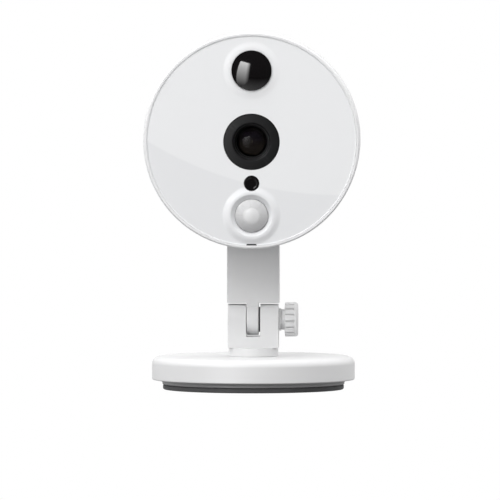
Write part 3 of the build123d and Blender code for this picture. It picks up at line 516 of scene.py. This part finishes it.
# face plate: flat disc, two raised collars, four openings
plateLook = dict(front=27.5, seatGap=0.02, edgeRound=0.05, edgeRise=0.2, edgeRiseWidth=0.3, edgeFlat=0.06,
                 irFoot=9.4, irLip=7.0, irRise=0.2, irHole=6.36, irRound=0.18,
                 pirFoot=9.5, pirLip=7.1, pirRise=0.6, pirRecess=6.62, pirHole=5.3, pirFloor=-0.5,
                 recessCurve=0.9, lensHole=9.0, lightHole=2.5, notchHalf=1.65, notchDepth=0.5)
plateRadius = seatRadius - plateLook["seatGap"]

def sCurve(t):
    t = max(0.0, min(1.0, t))
    return t * t * (3 - 2 * t)

# how far an edge with this rounding has dropped at a distance in from it
def roundedDrop(rounding, inside):
    away = max(0.0, min(rounding, rounding - inside))
    return rounding - math.sqrt(rounding ** 2 - away ** 2)

# how far the face stands forward of its flat, at a place measured from the head's centre
def plateHeight(x, z):
    look = plateLook
    edge = plateRadius - math.hypot(x, z)
    fromIr = math.hypot(x - irCentre.x, z - (irCentre.z - headCentre.z))
    fromPir = math.hypot(x - pirCentre.x, z - (pirCentre.z - headCentre.z))
    rise = (look["edgeFlat"] + look["edgeRiseWidth"] - edge) / look["edgeRiseWidth"]
    height = look["edgeRise"] * sCurve(rise) - roundedDrop(look["edgeRound"], edge)
    if fromIr < look["irFoot"]:
        height += look["irRise"] * sCurve((look["irFoot"] - fromIr) / (look["irFoot"] - look["irLip"]))
        height -= roundedDrop(look["irRound"], fromIr - look["irHole"])
    if fromPir < look["pirFoot"]:
        height += look["pirRise"] * sCurve((look["pirFoot"] - fromPir) / (look["pirFoot"] - look["pirLip"]))
        inner = (look["pirRecess"] - fromPir) / (look["pirRecess"] - look["pirHole"])
        sunk = max(0.0, min(1.0, inner)) ** look["recessCurve"]
        height -= (look["pirRise"] - look["pirFloor"]) * sunk
    return height

def ringPoints(across, up, radius, count):
    return [Vector((across + radius * math.cos(2 * math.pi * k / count),
                    up + radius * math.sin(2 * math.pi * k / count))) for k in range(count)]

def frange(start, stop, count):
    return [start + (stop - start) * k / (count - 1) for k in range(count)]

# a sheet of triangles with its holes cut out, raised by plateHeight and closed behind
def buildFacePlate():
    look = plateLook
    notchTop = look["notchDepth"] - plateRadius
    ir = (irCentre.x, irCentre.z - headCentre.z)
    pir = (pirCentre.x, pirCentre.z - headCentre.z)
    lens = (lensCentre.x, lensCentre.z - headCentre.z)
    light = (lightCentre.x, lightCentre.z - headCentre.z)
    holes = [(*ir, look["irHole"], 160), (*pir, look["pirHole"], 160), (*lens, look["lensHole"], 200),
             (*light, look["lightHole"], 96)]

    def clearOfHoles(p, margin):
        return all((p - Vector((across, up))).length > radius + margin
                   for across, up, radius, count in holes)

    outer = [Vector((p.x, notchTop)) if abs(p.x) < look["notchHalf"] and p.y < 0 else p
             for p in ringPoints(0, 0, plateRadius, 720)]
    loops = [outer] + [ringPoints(*hole) for hole in holes]
    points, edges = [], []
    for loop in loops:
        start = len(points)
        points.extend(loop)
        edges.extend((start + k, start + (k + 1) % len(loop)) for k in range(len(loop)))
    # rings of extra points where the face curves
    rings = [(0, 0, plateRadius - inset, 720) for inset in (0.02, 0.05, 0.1, 0.16, 0.23, 0.3, 0.37, 0.7)]
    rings += [(*ir, radius, 160) for radius in frange(look["irHole"] + 0.05, look["irFoot"], 22)]
    rings += [(*pir, radius, 160) for radius in frange(look["pirHole"] + 0.08, look["pirFoot"], 26)]
    rings += [(*ir, look["irFoot"] + 0.4, 160), (*pir, look["pirFoot"] + 0.4, 160)]
    rings += [(*lens, look["lensHole"] + 0.25, 200)]
    for ring in rings:
        for p in ringPoints(*ring):
            atNotch = abs(p.x) < look["notchHalf"] + 0.1 and p.y < notchTop + 0.1
            if clearOfHoles(p, 0.03) and p.length < plateRadius - 0.02 and not atNotch:
                points.append(p)
    flat, _, triangles, *_ = delaunay_2d_cdt(points, edges, [], 0, 1e-5)
    kept = []
    for triangle in triangles:
        middle = sum((flat[i] for i in triangle), Vector((0, 0))) / 3
        inNotch = abs(middle.x) < look["notchHalf"] and middle.y < notchTop
        if not inNotch and middle.length < plateRadius and clearOfHoles(middle, -0.002):
            kept.append(list(triangle))
    verts = [Vector((p.x, -(look["front"] + plateHeight(p.x, p.y)), headCentre.z + p.y)) for p in flat]
    verts += [Vector((p.x, -plateBack, headCentre.z + p.y)) for p in flat]
    count = len(flat)
    faces = kept + [[i + count for i in reversed(triangle)] for triangle in kept]
    sides = {}
    for triangle in kept:
        for k in range(3):
            pair = (triangle[k], triangle[(k + 1) % 3])
            sides.setdefault(tuple(sorted(pair)), []).append(pair)
    for pairs in sides.values():
        if len(pairs) == 1:  # an outer edge: close it down to the back
            a, b = pairs[0]
            faces.append([b, a, a + count, b + count])
    used = sorted({i for face in faces for i in face})
    renumber = {old: new for new, old in enumerate(used)}
    faces = [[renumber[i] for i in face] for face in faces]
    return makeObject("facePlate", [verts[i] for i in used], faces, 40)

facePlate = buildFacePlate()
finishPiece(facePlate, "head", materials["facePolish"], "face_gloss", "face_plate")

# a block between two corners (across, up, forward) with eased edges
def roundedBox(name, low, high, width, segments=3):
    bm = bmesh.new()
    bmesh.ops.create_cube(bm, size=1)
    for v in bm.verts:
        part = v.co + Vector((0.5, 0.5, 0.5))
        v.co = Vector((low[0] + part.x * (high[0] - low[0]), -(low[2] + part.y * (high[2] - low[2])),
                       low[1] + part.z * (high[1] - low[1]))) * mm
    bmesh.ops.bevel(bm, geom=bm.edges[:], offset=width * mm, segments=segments, affect="EDGES",
                    profile=0.5)
    bmesh.ops.recalc_face_normals(bm, faces=bm.faces)
    mesh = bpy.data.meshes.new(name)
    bm.to_mesh(mesh)
    bm.free()
    obj = addObject(name, mesh)
    smooth(obj, 35)
    return obj

# the microphone breathes through a notch at the plate's bottom edge; the dark foam block behind it is
# partly a seal and partly painted shade, standing in for the shade in the notch
notchShadeSealLook = dict(inset=0.05, gap=0.04, height=0.42, recess=0.35, edge=0.08)
sealHalf = plateLook["notchHalf"] - notchShadeSealLook["inset"]
sealTop = headCentre.z - plateRadius + plateLook["notchDepth"] - notchShadeSealLook["gap"]
micSeal = roundedBox("micSeal", (-sealHalf, sealTop - notchShadeSealLook["height"], plateBack + notchShadeSealLook["inset"]),
                     (sealHalf, sealTop, plateLook["front"] - notchShadeSealLook["recess"]), notchShadeSealLook["edge"])
finishPiece(micSeal, "head", materials["foam"], "foam")
print("face plate:", len(facePlate.data.polygons), "faces")

# head shells
frontShell = refine("front_shell", "frontShell", 0.1)
finishPiece(frontShell, "head", materials["shellWhite"], "white_shell", "front_shell")
rearShell = refine("rear_shell", "rearShell", 0.15)
finishPiece(rearShell, "head", materials["shellWhite"], "white_shell", "rear_shell")

# windows: each dome is held behind the plate by its flange
flangeThickness = 0.7
irLook = dict(radius=6.28, shoulder=28.3, apex=30.0, back=24.7, flange=7.48)
irDome = lathe("irDome", [(0, irLook["back"], 0), (irLook["flange"], irLook["back"], 0),
                          (irLook["flange"], plateBack, 0), (irLook["radius"], plateBack, 0)]
               + domeOutline(irLook["radius"], irLook["shoulder"], irLook["apex"]),
               "forward", irCentre, 224)
finishPiece(irDome, "head", materials["infraredBlack"], "black_gloss", "ir_window")

lightLook = dict(radius=2.45, front=27.6, flange=3.25, inner=1.6, slope=0.15, sunk=0.12)
lightFloor = lightLook["front"] - lightLook["sunk"]
lightWindow = lathe("lightWindow", [
    (0, plateBack - flangeThickness, 0), (lightLook["flange"], plateBack - flangeThickness, 0),
    (lightLook["flange"], plateBack, 0), (lightLook["radius"], plateBack, 0),
    (lightLook["radius"], lightLook["front"], 0.12),
    (lightLook["inner"] + lightLook["slope"], lightLook["front"], 0.04),
    (lightLook["inner"], lightFloor, 0.04), (0, lightFloor, 0)], "forward", lightCentre, 128)
finishPiece(lightWindow, "head", materials["infraredBlack"], "black_gloss", "light_sensor_window")

pirLook = dict(radius=5.2, shoulder=27.6, apex=29.4, skin=0.6, flangeReach=1.3, zoneRadius=2.5,
               zones=8, groove=0.06, grooveWidth=0.2, spokeFade=0.3, plainRim=0.25)

# shallow grooves between the lens zones: one ring and a fan of spokes outside it
def pirFacets(radius, along, angle):
    look = pirLook
    if along < look["shoulder"] + 0.02 or radius > look["radius"] - look["plainRim"]:
        return radius, along
    depth = math.exp(-((radius - look["zoneRadius"]) / look["grooveWidth"]) ** 2)
    if radius > look["zoneRadius"]:
        step = 2 * math.pi / look["zones"]
        off = (angle + step / 2) % step - step / 2
        fade = sCurve((radius - look["zoneRadius"]) / look["spokeFade"])
        depth = max(depth, fade * math.exp(-((off * radius) / look["grooveWidth"]) ** 2))
    return radius, along - look["groove"] * depth

pirInside = pirLook["radius"] - pirLook["skin"]
pirFlange = pirLook["radius"] + pirLook["flangeReach"]
pirDome = lathe("pirDome", [
    (pirInside, plateBack - flangeThickness, 0), (pirFlange, plateBack - flangeThickness, 0),
    (pirFlange, plateBack, 0), (pirLook["radius"], plateBack, 0)]
    + domeOutline(pirLook["radius"], pirLook["shoulder"], pirLook["apex"], 60)
    + domeOutline(pirInside, pirLook["shoulder"] - 0.2, pirLook["apex"] - pirLook["skin"])[::-1],
    "forward", pirCentre, 256, ripple=pirFacets)
finishPiece(pirDome, "head", materials["milkyLens"], "milky_lens", "pir_lens")

# lens
lensLook = dict(outer=8.95, outerFront=27.3, front=27.6, flatInner=6.2, throat=5.5, back=23.7,
                flange=9.8, lip=0.2, slope=0.1, slopeDepth=0.5, throatDepth=1.6)
lensRing = lathe("lensRing", [
    (lensLook["throat"], lensLook["back"], 0), (lensLook["flange"], lensLook["back"], 0),
    (lensLook["flange"], plateBack, 0), (lensLook["outer"], plateBack, 0),
    (lensLook["outer"], lensLook["outerFront"], 0.3),
    (lensLook["flatInner"], lensLook["front"], lensLook["lip"]),
    (lensLook["throat"] + lensLook["slope"], lensLook["front"] - lensLook["slopeDepth"], 0.15),
    (lensLook["throat"], lensLook["front"] - lensLook["throatDepth"], 0.1)],
    "forward", lensCentre, 224, 30)
finishPiece(lensRing, "head", materials["satinBlack"], "black_satin", "lens_ring")

glassLook = dict(radius=4.88, back=21.6, shoulder=22.9, apex=24.5)
frontGlass = lathe("frontGlass", [(0, glassLook["back"], 0), (glassLook["radius"], glassLook["back"], 0)]
                   + domeOutline(glassLook["radius"], glassLook["shoulder"], glassLook["apex"]),
                   "forward", lensCentre, 160)
finishPiece(frontGlass, "head", materials["frontGlass"], "optic_glass", "front_lens")

# arm and post
arm = refine("arm", "arm", 0.22)
finishPiece(arm, "head", materials["standWhite"], "stand_plastic", "arm")
post = refine("post", "post", 0.22)
finishPiece(post, "post", materials["standWhite"], "stand_plastic", "post")

# base
baseCover = refine("base_cover", "baseCover", 0.08)
finishPiece(baseCover, "base", materials["standWhite"], "stand_plastic", "base_cover")
basePlate = refine("base_plate", "basePlate", 0.12)
finishPiece(basePlate, "base", materials["darkPlate"], "dark_plate", "base_plate")
footPad = refine("foot_pad", "footPad", 0.12)
finishPiece(footPad, "base", materials["padRubber"], "pad_rubber", "foot_pad")

# geometry-node trees: named inputs, one mesh out
def startTree(name, sockets):
    tree = bpy.data.node_groups.new(name, "GeometryNodeTree")
    for label, kind in sockets:
        groupSocket(tree, label, "INPUT", kind)
    groupSocket(tree, "Geometry", "OUTPUT", "NodeSocketGeometry")
    return tree, addNode(tree, "NodeGroupInput").outputs

def objectMesh(tree, source):
    return addNode(tree, "GeometryNodeObjectInfo", {"Object": source}).outputs["Geometry"]

# the last steps of each tree: copies made real, then painted
def endTree(tree, shape, material):
    real = addNode(tree, "GeometryNodeRealizeInstances", {0: shape}).outputs[0]
    painted = addNode(tree, "GeometryNodeSetMaterial", {"Geometry": real, "Material": material})
    addNode(tree, "NodeGroupOutput", {0: painted.outputs[0]})
    return tree

# ridges set round an axis: a core, and one ridge turned to each place
def makeRidgeTree():
    tree, given = startTree("ridgesRoundAxis", [
        ("Core", "NodeSocketObject"), ("Ridge", "NodeSocketObject"), ("Count", "NodeSocketInt"),
        ("First Turn", "NodeSocketFloat"), ("Centre", "NodeSocketVector"),
        ("Material", "NodeSocketMaterial")])
    points = addNode(tree, "GeometryNodePoints", {"Count": given["Count"]}).outputs[0]
    index = addNode(tree, "GeometryNodeInputIndex").outputs[0]
    step = maths(tree, "DIVIDE", 2 * math.pi, given["Count"])
    angle = maths(tree, "MULTIPLY_ADD", index, step, given["First Turn"])
    turn = addNode(tree, "ShaderNodeCombineXYZ", {"X": angle}).outputs[0]
    copies = addNode(tree, "GeometryNodeInstanceOnPoints", {
        "Points": points, "Instance": objectMesh(tree, given["Ridge"]), "Rotation": turn})
    joined = addNode(tree, "GeometryNodeJoinGeometry", {0: copies.outputs[0]})
    feed(tree, joined, {0: objectMesh(tree, given["Core"])})
    moved = addNode(tree, "GeometryNodeTransform", {
        "Geometry": joined.outputs[0], "Translation": given["Centre"]})
    return endTree(tree, moved.outputs[0], given["Material"])

# one object set at every point of another
def makePlacesTree():
    tree, given = startTree("oneAtEachPlace", [
        ("Places", "NodeSocketObject"), ("Item", "NodeSocketObject"), ("Material", "NodeSocketMaterial")])
    points = addNode(tree, "GeometryNodeMeshToPoints", {0: objectMesh(tree, given["Places"])})
    copies = addNode(tree, "GeometryNodeInstanceOnPoints", {
        "Points": points.outputs[0], "Instance": objectMesh(tree, given["Item"])})
    return endTree(tree, copies.outputs[0], given["Material"])

# a plain mesh object from a tree and its input values
def runTree(name, tree, values):
    obj = addObject(name, bpy.data.meshes.new(name))
    modifier = obj.modifiers.new(name, "NODES")
    modifier.node_group = tree
    for item in tree.interface.items_tree:
        if item.in_out == "INPUT":
            modifier[item.identifier] = values[item.name]
    applyModifiers(obj)
    obj.data.name = name
    return obj

def dropObject(obj):
    bpy.data.objects.remove(obj, do_unlink=True)

ridgeTree = makeRidgeTree()
placesTree = makePlacesTree()

# thumbscrew
knobLook = dict(ridges=16, groove=0.6, grooveDepth=0.75, firstGroove=4.5, grip=4.3, cap=1.2,
                capRound=0.85, capRim=1.5, capSunk=0.25, innerRound=0.3, collar=1.07, shoulder=3.3,
                shank=1.97, threadDepth=0.22, threadPitch=0.7, threadEnd=0.9, ridgeEase=0.16)
knobLow, knobHigh = span("thumbscrew")
knobRadius = (knobHigh.z - knobLow.z) / 2
knobFace = knobHigh.x - knobLook["grip"]
collarFace = knobFace - knobLook["collar"]  # just clear of the washer

def buildKnob():
    look = knobLook
    root = knobRadius - look["grooveDepth"]
    ridgeEnd = knobHigh.x - look["cap"]
    shankEnd = knobLow.x
    capFloor = knobHigh.x - look["capSunk"]
    shank, valley = look["shank"], look["shank"] - look["threadDepth"]
    threadEnd = collarFace - look["threadEnd"]
    outline = [(0, shankEnd, 0), (shank - 0.35, shankEnd, 0.1)]
    turns = int((threadEnd - shankEnd - 0.4) / look["threadPitch"])
    for k in range(turns):
        along = shankEnd + 0.3 + k * look["threadPitch"]
        outline += [(valley, along, 0.05), (shank, along + look["threadPitch"] / 2, 0.05)]
    outline += [(valley, threadEnd, 0), (shank, threadEnd + 0.25, 0), (shank, collarFace, 0),
                (look["shoulder"], collarFace, 0.2), (look["shoulder"], knobFace, 0.25),
                (root, knobFace, look["innerRound"]), (root, ridgeEnd - 0.1, 0.1),
                (knobRadius, ridgeEnd, 0.25), (knobRadius, knobHigh.x, look["capRound"]),
                (knobRadius - look["capRim"], knobHigh.x, 0.3),
                (knobRadius - look["capRim"] - 0.5, capFloor, 0.3), (0, capFloor, 0)]
    core = lathe("knobCore", outline, "across", Vector(), 160, 40)
    half = math.pi / look["ridges"] - look["groove"] / 2 / knobRadius
    bm = bmesh.new()
    rows = []
    for along in (knobFace + 0.1, ridgeEnd + 0.12):
        for radius in (root - 0.35, knobRadius):
            rows.append([bm.verts.new(Vector((along, radius * math.cos(a), radius * math.sin(a))) * mm)
                         for a in frange(-half, half, 7)])
    backLow, backHigh, frontLow, frontHigh = rows
    for k in range(6):
        bm.faces.new((backHigh[k], backHigh[k + 1], frontHigh[k + 1], frontHigh[k]))
        bm.faces.new((backLow[k + 1], backLow[k], frontLow[k], frontLow[k + 1]))
        bm.faces.new((backLow[k], backLow[k + 1], backHigh[k + 1], backHigh[k]))
        bm.faces.new((frontLow[k + 1], frontLow[k], frontHigh[k], frontHigh[k + 1]))
    for k in (0, 6):
        bm.faces.new((backLow[k], backHigh[k], frontHigh[k], frontLow[k]))
    bmesh.ops.recalc_face_normals(bm, faces=bm.faces)
    sharp = [e for e in bm.edges if e.calc_face_angle(0) > math.radians(40)]
    bmesh.ops.bevel(bm, geom=sharp, offset=look["ridgeEase"] * mm, segments=3, affect="EDGES",
                    profile=0.5)
    mesh = bpy.data.meshes.new("knobRidge")
    bm.to_mesh(mesh)
    bm.free()
    ridge = addObject("knobRidge", mesh)
    first = math.pi + math.radians(look["firstGroove"]) + math.pi / look["ridges"]
    knob = runTree("knob", ridgeTree, {
        "Core": core, "Ridge": ridge, "Count": look["ridges"], "First Turn": first,
        "Centre": Vector((0, knobCentre.y, knobCentre.z)) * mm, "Material": materials["standWhite"]})
    dropObject(core)
    dropObject(ridge)
    smooth(knob, 40)
    return knob

knob = buildKnob()
finishPiece(knob, "thumbscrew", materials["standWhite"], "stand_plastic", "thumbscrew")
clampWasher = refine("clamp_washer", "clampWasher", 0.1)
finishPiece(clampWasher, "clamp_washer", materials["standWhite"], "stand_plastic", "clamp_washer")

# screws and other fittings
# the separate pieces of a mesh, as lists of its vertices' places
def islands(obj):
    bm = bmesh.new()
    bm.from_mesh(obj.data)
    bm.verts.ensure_lookup_table()
    seen, found = set(), []
    for start in bm.verts:
        if start.index in seen:
            continue
        stack, island = [start], []
        seen.add(start.index)
        while stack:
            v = stack.pop()
            island.append(v.index)
            for e in v.link_edges:
                w = e.other_vert(v)
                if w.index not in seen:
                    seen.add(w.index)
                    stack.append(w)
        found.append(island)
    bm.free()
    return found

# identical screws: one is refined, then set at every place the CAD node has one
def repeatFitting(node, name, body, ease):
    whole = refine(node, name + "Whole", 0)
    groups = islands(whole)
    mesh = whole.data
    centres = []
    for group in groups:
        points = [mesh.vertices[i].co for i in group]
        centres.append(Vector([(min(along) + max(along)) / 2 for along in zip(*points)]))
    bm = bmesh.new()
    bm.from_mesh(mesh)
    bm.verts.ensure_lookup_table()
    keep = set(groups[0])
    bmesh.ops.delete(bm, geom=[v for v in bm.verts if v.index not in keep], context="VERTS")
    for v in bm.verts:
        v.co -= centres[0]
    bm.to_mesh(mesh)
    bm.free()
    easeEdges(whole, ease, 2)
    placeMesh = bpy.data.meshes.new(name + "Places")
    placeMesh.from_pydata(centres, [], [])
    places = addObject(name + "Places", placeMesh)
    obj = runTree(name, placesTree, {"Places": places, "Item": whole, "Material": materials["steel"]})
    dropObject(places)
    dropObject(whole)
    smooth(obj, 40)
    return finishPiece(obj, body, materials["steel"], "steel", node)

for node, name, body, ease in (
        ("arm_screws", "armScrews", "head", 0.08), ("case_screws", "caseScrews", "head", 0.06),
        ("base_plate_screws", "basePlateScrews", "base", 0.06),
        ("board_screws", "boardScrews", "head", 0.04)):
    repeatFitting(node, name, body, ease)
for node, name, body, materialName, slotName, ease in (
        ("clamp_nut", "clampNut", "post", "steel", "steel", 0.12),
        ("friction_washer", "frictionWasher", "post", "padRubber", "pad_rubber", 0.04),
        ("power_socket", "powerSocket", "head", "tin", "shield_tin", 0.04),
        ("power_contacts", "powerContacts", "head", "gold", "contact_gold", 0.02),
        ("reset_button", "resetButton", "reset_button", "satinBlack", "black_satin", 0.08),
        ("setup_button", "setupButton", "setup_button", "shellWhite", "white_shell", 0.08),
        ("card_socket", "cardSocket", "head", "tin", "shield_tin", 0.05)):
    finishPiece(refine(node, name, ease), body, materials[materialName], slotName, node)
print("fittings made")

# floor and light
stageLook = dict(floorBounce=(0.18, 0.18, 0.182), floorShown=(1.0, 1.0, 1.0),
                 floorReach=9.0, floorDrop=0.05, ambient=0.54, reflectedAhead=0.035,
                 reflectedBehind=0.75, reflectedRamp=(-0.2, 0.5), backdrop=1.0)
softboxLook = {
    "frontTop": dict(place=(-0.45, -0.9, 1.15), size=(1.6, 1.2), power=17.6),
    "frontLeft": dict(place=(-1.0, -1.25, 0.45), size=(1.0, 0.9), power=5.4),
    "frontRight": dict(place=(1.1, -1.0, 0.5), size=(0.8, 0.8), power=2.2),
    "overhead": dict(place=(-0.1, -0.2, 1.4), size=(1.5, 1.1), power=7.6),
    "sideLeft": dict(place=(-1.4, 0.45, 0.5), size=(0.9, 0.8), power=3.4),
    "sideRight": dict(place=(1.3, 0.45, 0.85), size=(0.9, 0.8), power=9.0),
    "behind": dict(place=(0.3, 1.2, 0.7), size=(1.2, 0.9), power=4.6),
}
cardLook = {
    "windowCard": dict(place=(-0.54, -1.08, -0.2), size=(0.84, 1.86), top=5.6, bottom=0.1, feather=0.25,
                       fade=1.5, turn=-12),
    "sideCard": dict(place=(-0.85, -0.25, 0.95), size=(0.8, 0.8), top=2.6, bottom=2.6, feather=0.1,
                     fade=1.0, turn=0),
    "lowCard": dict(place=(0.25, -0.75, -0.8), size=(2.2, 1.2), top=0.0, bottom=0.5, feather=0.1,
                    fade=1.0, turn=0),
}

def blend(tree, factor, first, second):
    return addNode(tree, "ShaderNodeMixShader", {0: factor, 1: first, 2: second}).outputs[0]

# seen as bright paper from above and not at all from below
def addFloor():
    mesh = bpy.data.meshes.new("floor")
    reach = stageLook["floorReach"]
    drop = -stageLook["floorDrop"] * mm  # keeps the paper just clear of the pad
    mesh.from_pydata([(-reach, -reach, drop), (reach, -reach, drop), (reach, reach, drop),
                      (-reach, reach, drop)], [], [(0, 1, 2, 3)])
    floor = addObject("floor", mesh)
    material, tree, shader = startMaterial("floorPaper", {
        "Roughness": 0.9, "Specular IOR Level": 0.0, "Base Color": (*stageLook["floorBounce"], 1)})
    shown = addNode(tree, "ShaderNodeEmission", {"Color": (*stageLook["floorShown"], 1)})
    path = addNode(tree, "ShaderNodeLightPath").outputs
    above = blend(tree, path["Is Camera Ray"], shader.outputs[0], shown.outputs[0])
    clear = addNode(tree, "ShaderNodeBsdfTransparent").outputs[0]
    side = addNode(tree, "ShaderNodeNewGeometry").outputs
    both = blend(tree, side["Backfacing"], above, clear)
    feed(tree, tree.nodes["Material Output"], {"Surface": both})
    mesh.materials.append(material)
    floor.visible_glossy = False

def aimed(name, data, place, aim):
    obj = addObject(name, data)
    obj.location = place
    obj.rotation_euler = (Vector(place) - Vector(aim)).to_track_quat("Z", "Y").to_euler()
    return obj

def addLights(aim):
    for name, look in softboxLook.items():
        light = bpy.data.lights.new(name, "AREA")
        light.shape = "RECTANGLE"
        light.size, light.size_y = look["size"]
        light.energy = look["power"]
        box = aimed(name, light, look["place"], aim)
        box.visible_glossy = False
        box.visible_camera = False

# bright cards that only show as reflections, in the dark window and the lens
def addCards(aim):
    for name, look in cardLook.items():
        across, up = look["size"][0] / 2, look["size"][1] / 2
        mesh = bpy.data.meshes.new(name)
        mesh.from_pydata([(-across, -up, 0), (across, -up, 0), (across, up, 0), (-across, up, 0)], [],
                         [(0, 1, 2, 3)])
        card = aimed(name, mesh, look["place"], aim)
        card.rotation_euler.rotate_axis("Z", math.radians(look["turn"]))
        material = bpy.data.materials.new(name)
        material.use_nodes = True
        tree = material.node_tree
        tree.nodes.clear()
        place = addNode(tree, "ShaderNodeSeparateXYZ", {0: objectPlace(tree)}).outputs
        height = maths(tree, "POWER", mapRange(tree, place["Y"], 0.0, 1.0, -up, up), look["fade"])
        strength = mapRange(tree, height, look["bottom"], look["top"])
        soft = mapRange(tree, place["X"], 1.0, 0.0, across - look["feather"], across)
        glow = addNode(tree, "ShaderNodeEmission", {"Strength": maths(tree, "MULTIPLY", strength, soft)})
        addNode(tree, "ShaderNodeOutputMaterial", {"Surface": glow.outputs[0]})
        mesh.materials.append(material)
        card.visible_camera = False
        card.visible_diffuse = False
        card.visible_shadow = False
        card.visible_transmission = False

# the world lights, reflects and shows with a strength of its own for each
def addWorld():
    world = bpy.data.worlds.new("studio")
    bpy.context.scene.world = world
    world.use_nodes = True
    tree = world.node_tree
    tree.nodes.clear()
    coords = addNode(tree, "ShaderNodeTexCoord").outputs
    split = addNode(tree, "ShaderNodeSeparateXYZ", {0: coords["Generated"]}).outputs
    reflected = mapRange(tree, split["Y"], stageLook["reflectedAhead"], stageLook["reflectedBehind"],
                         *stageLook["reflectedRamp"])
    layers = []
    for strength in (stageLook["ambient"], reflected, stageLook["backdrop"]):
        layer = addNode(tree, "ShaderNodeBackground", {"Strength": strength, "Color": (1, 1, 1, 1)})
        layers.append(layer.outputs[0])
    path = addNode(tree, "ShaderNodeLightPath").outputs
    lit = blend(tree, path["Is Glossy Ray"], layers[0], layers[1])
    seen = blend(tree, path["Is Camera Ray"], lit, layers[2])
    addNode(tree, "ShaderNodeOutputWorld", {"Surface": seen})

stageAim = (0, 0, 0.06)
addFloor()
addWorld()
addLights(stageAim)
addCards(stageAim)
bpy.context.scene.view_settings.view_transform = "Standard"
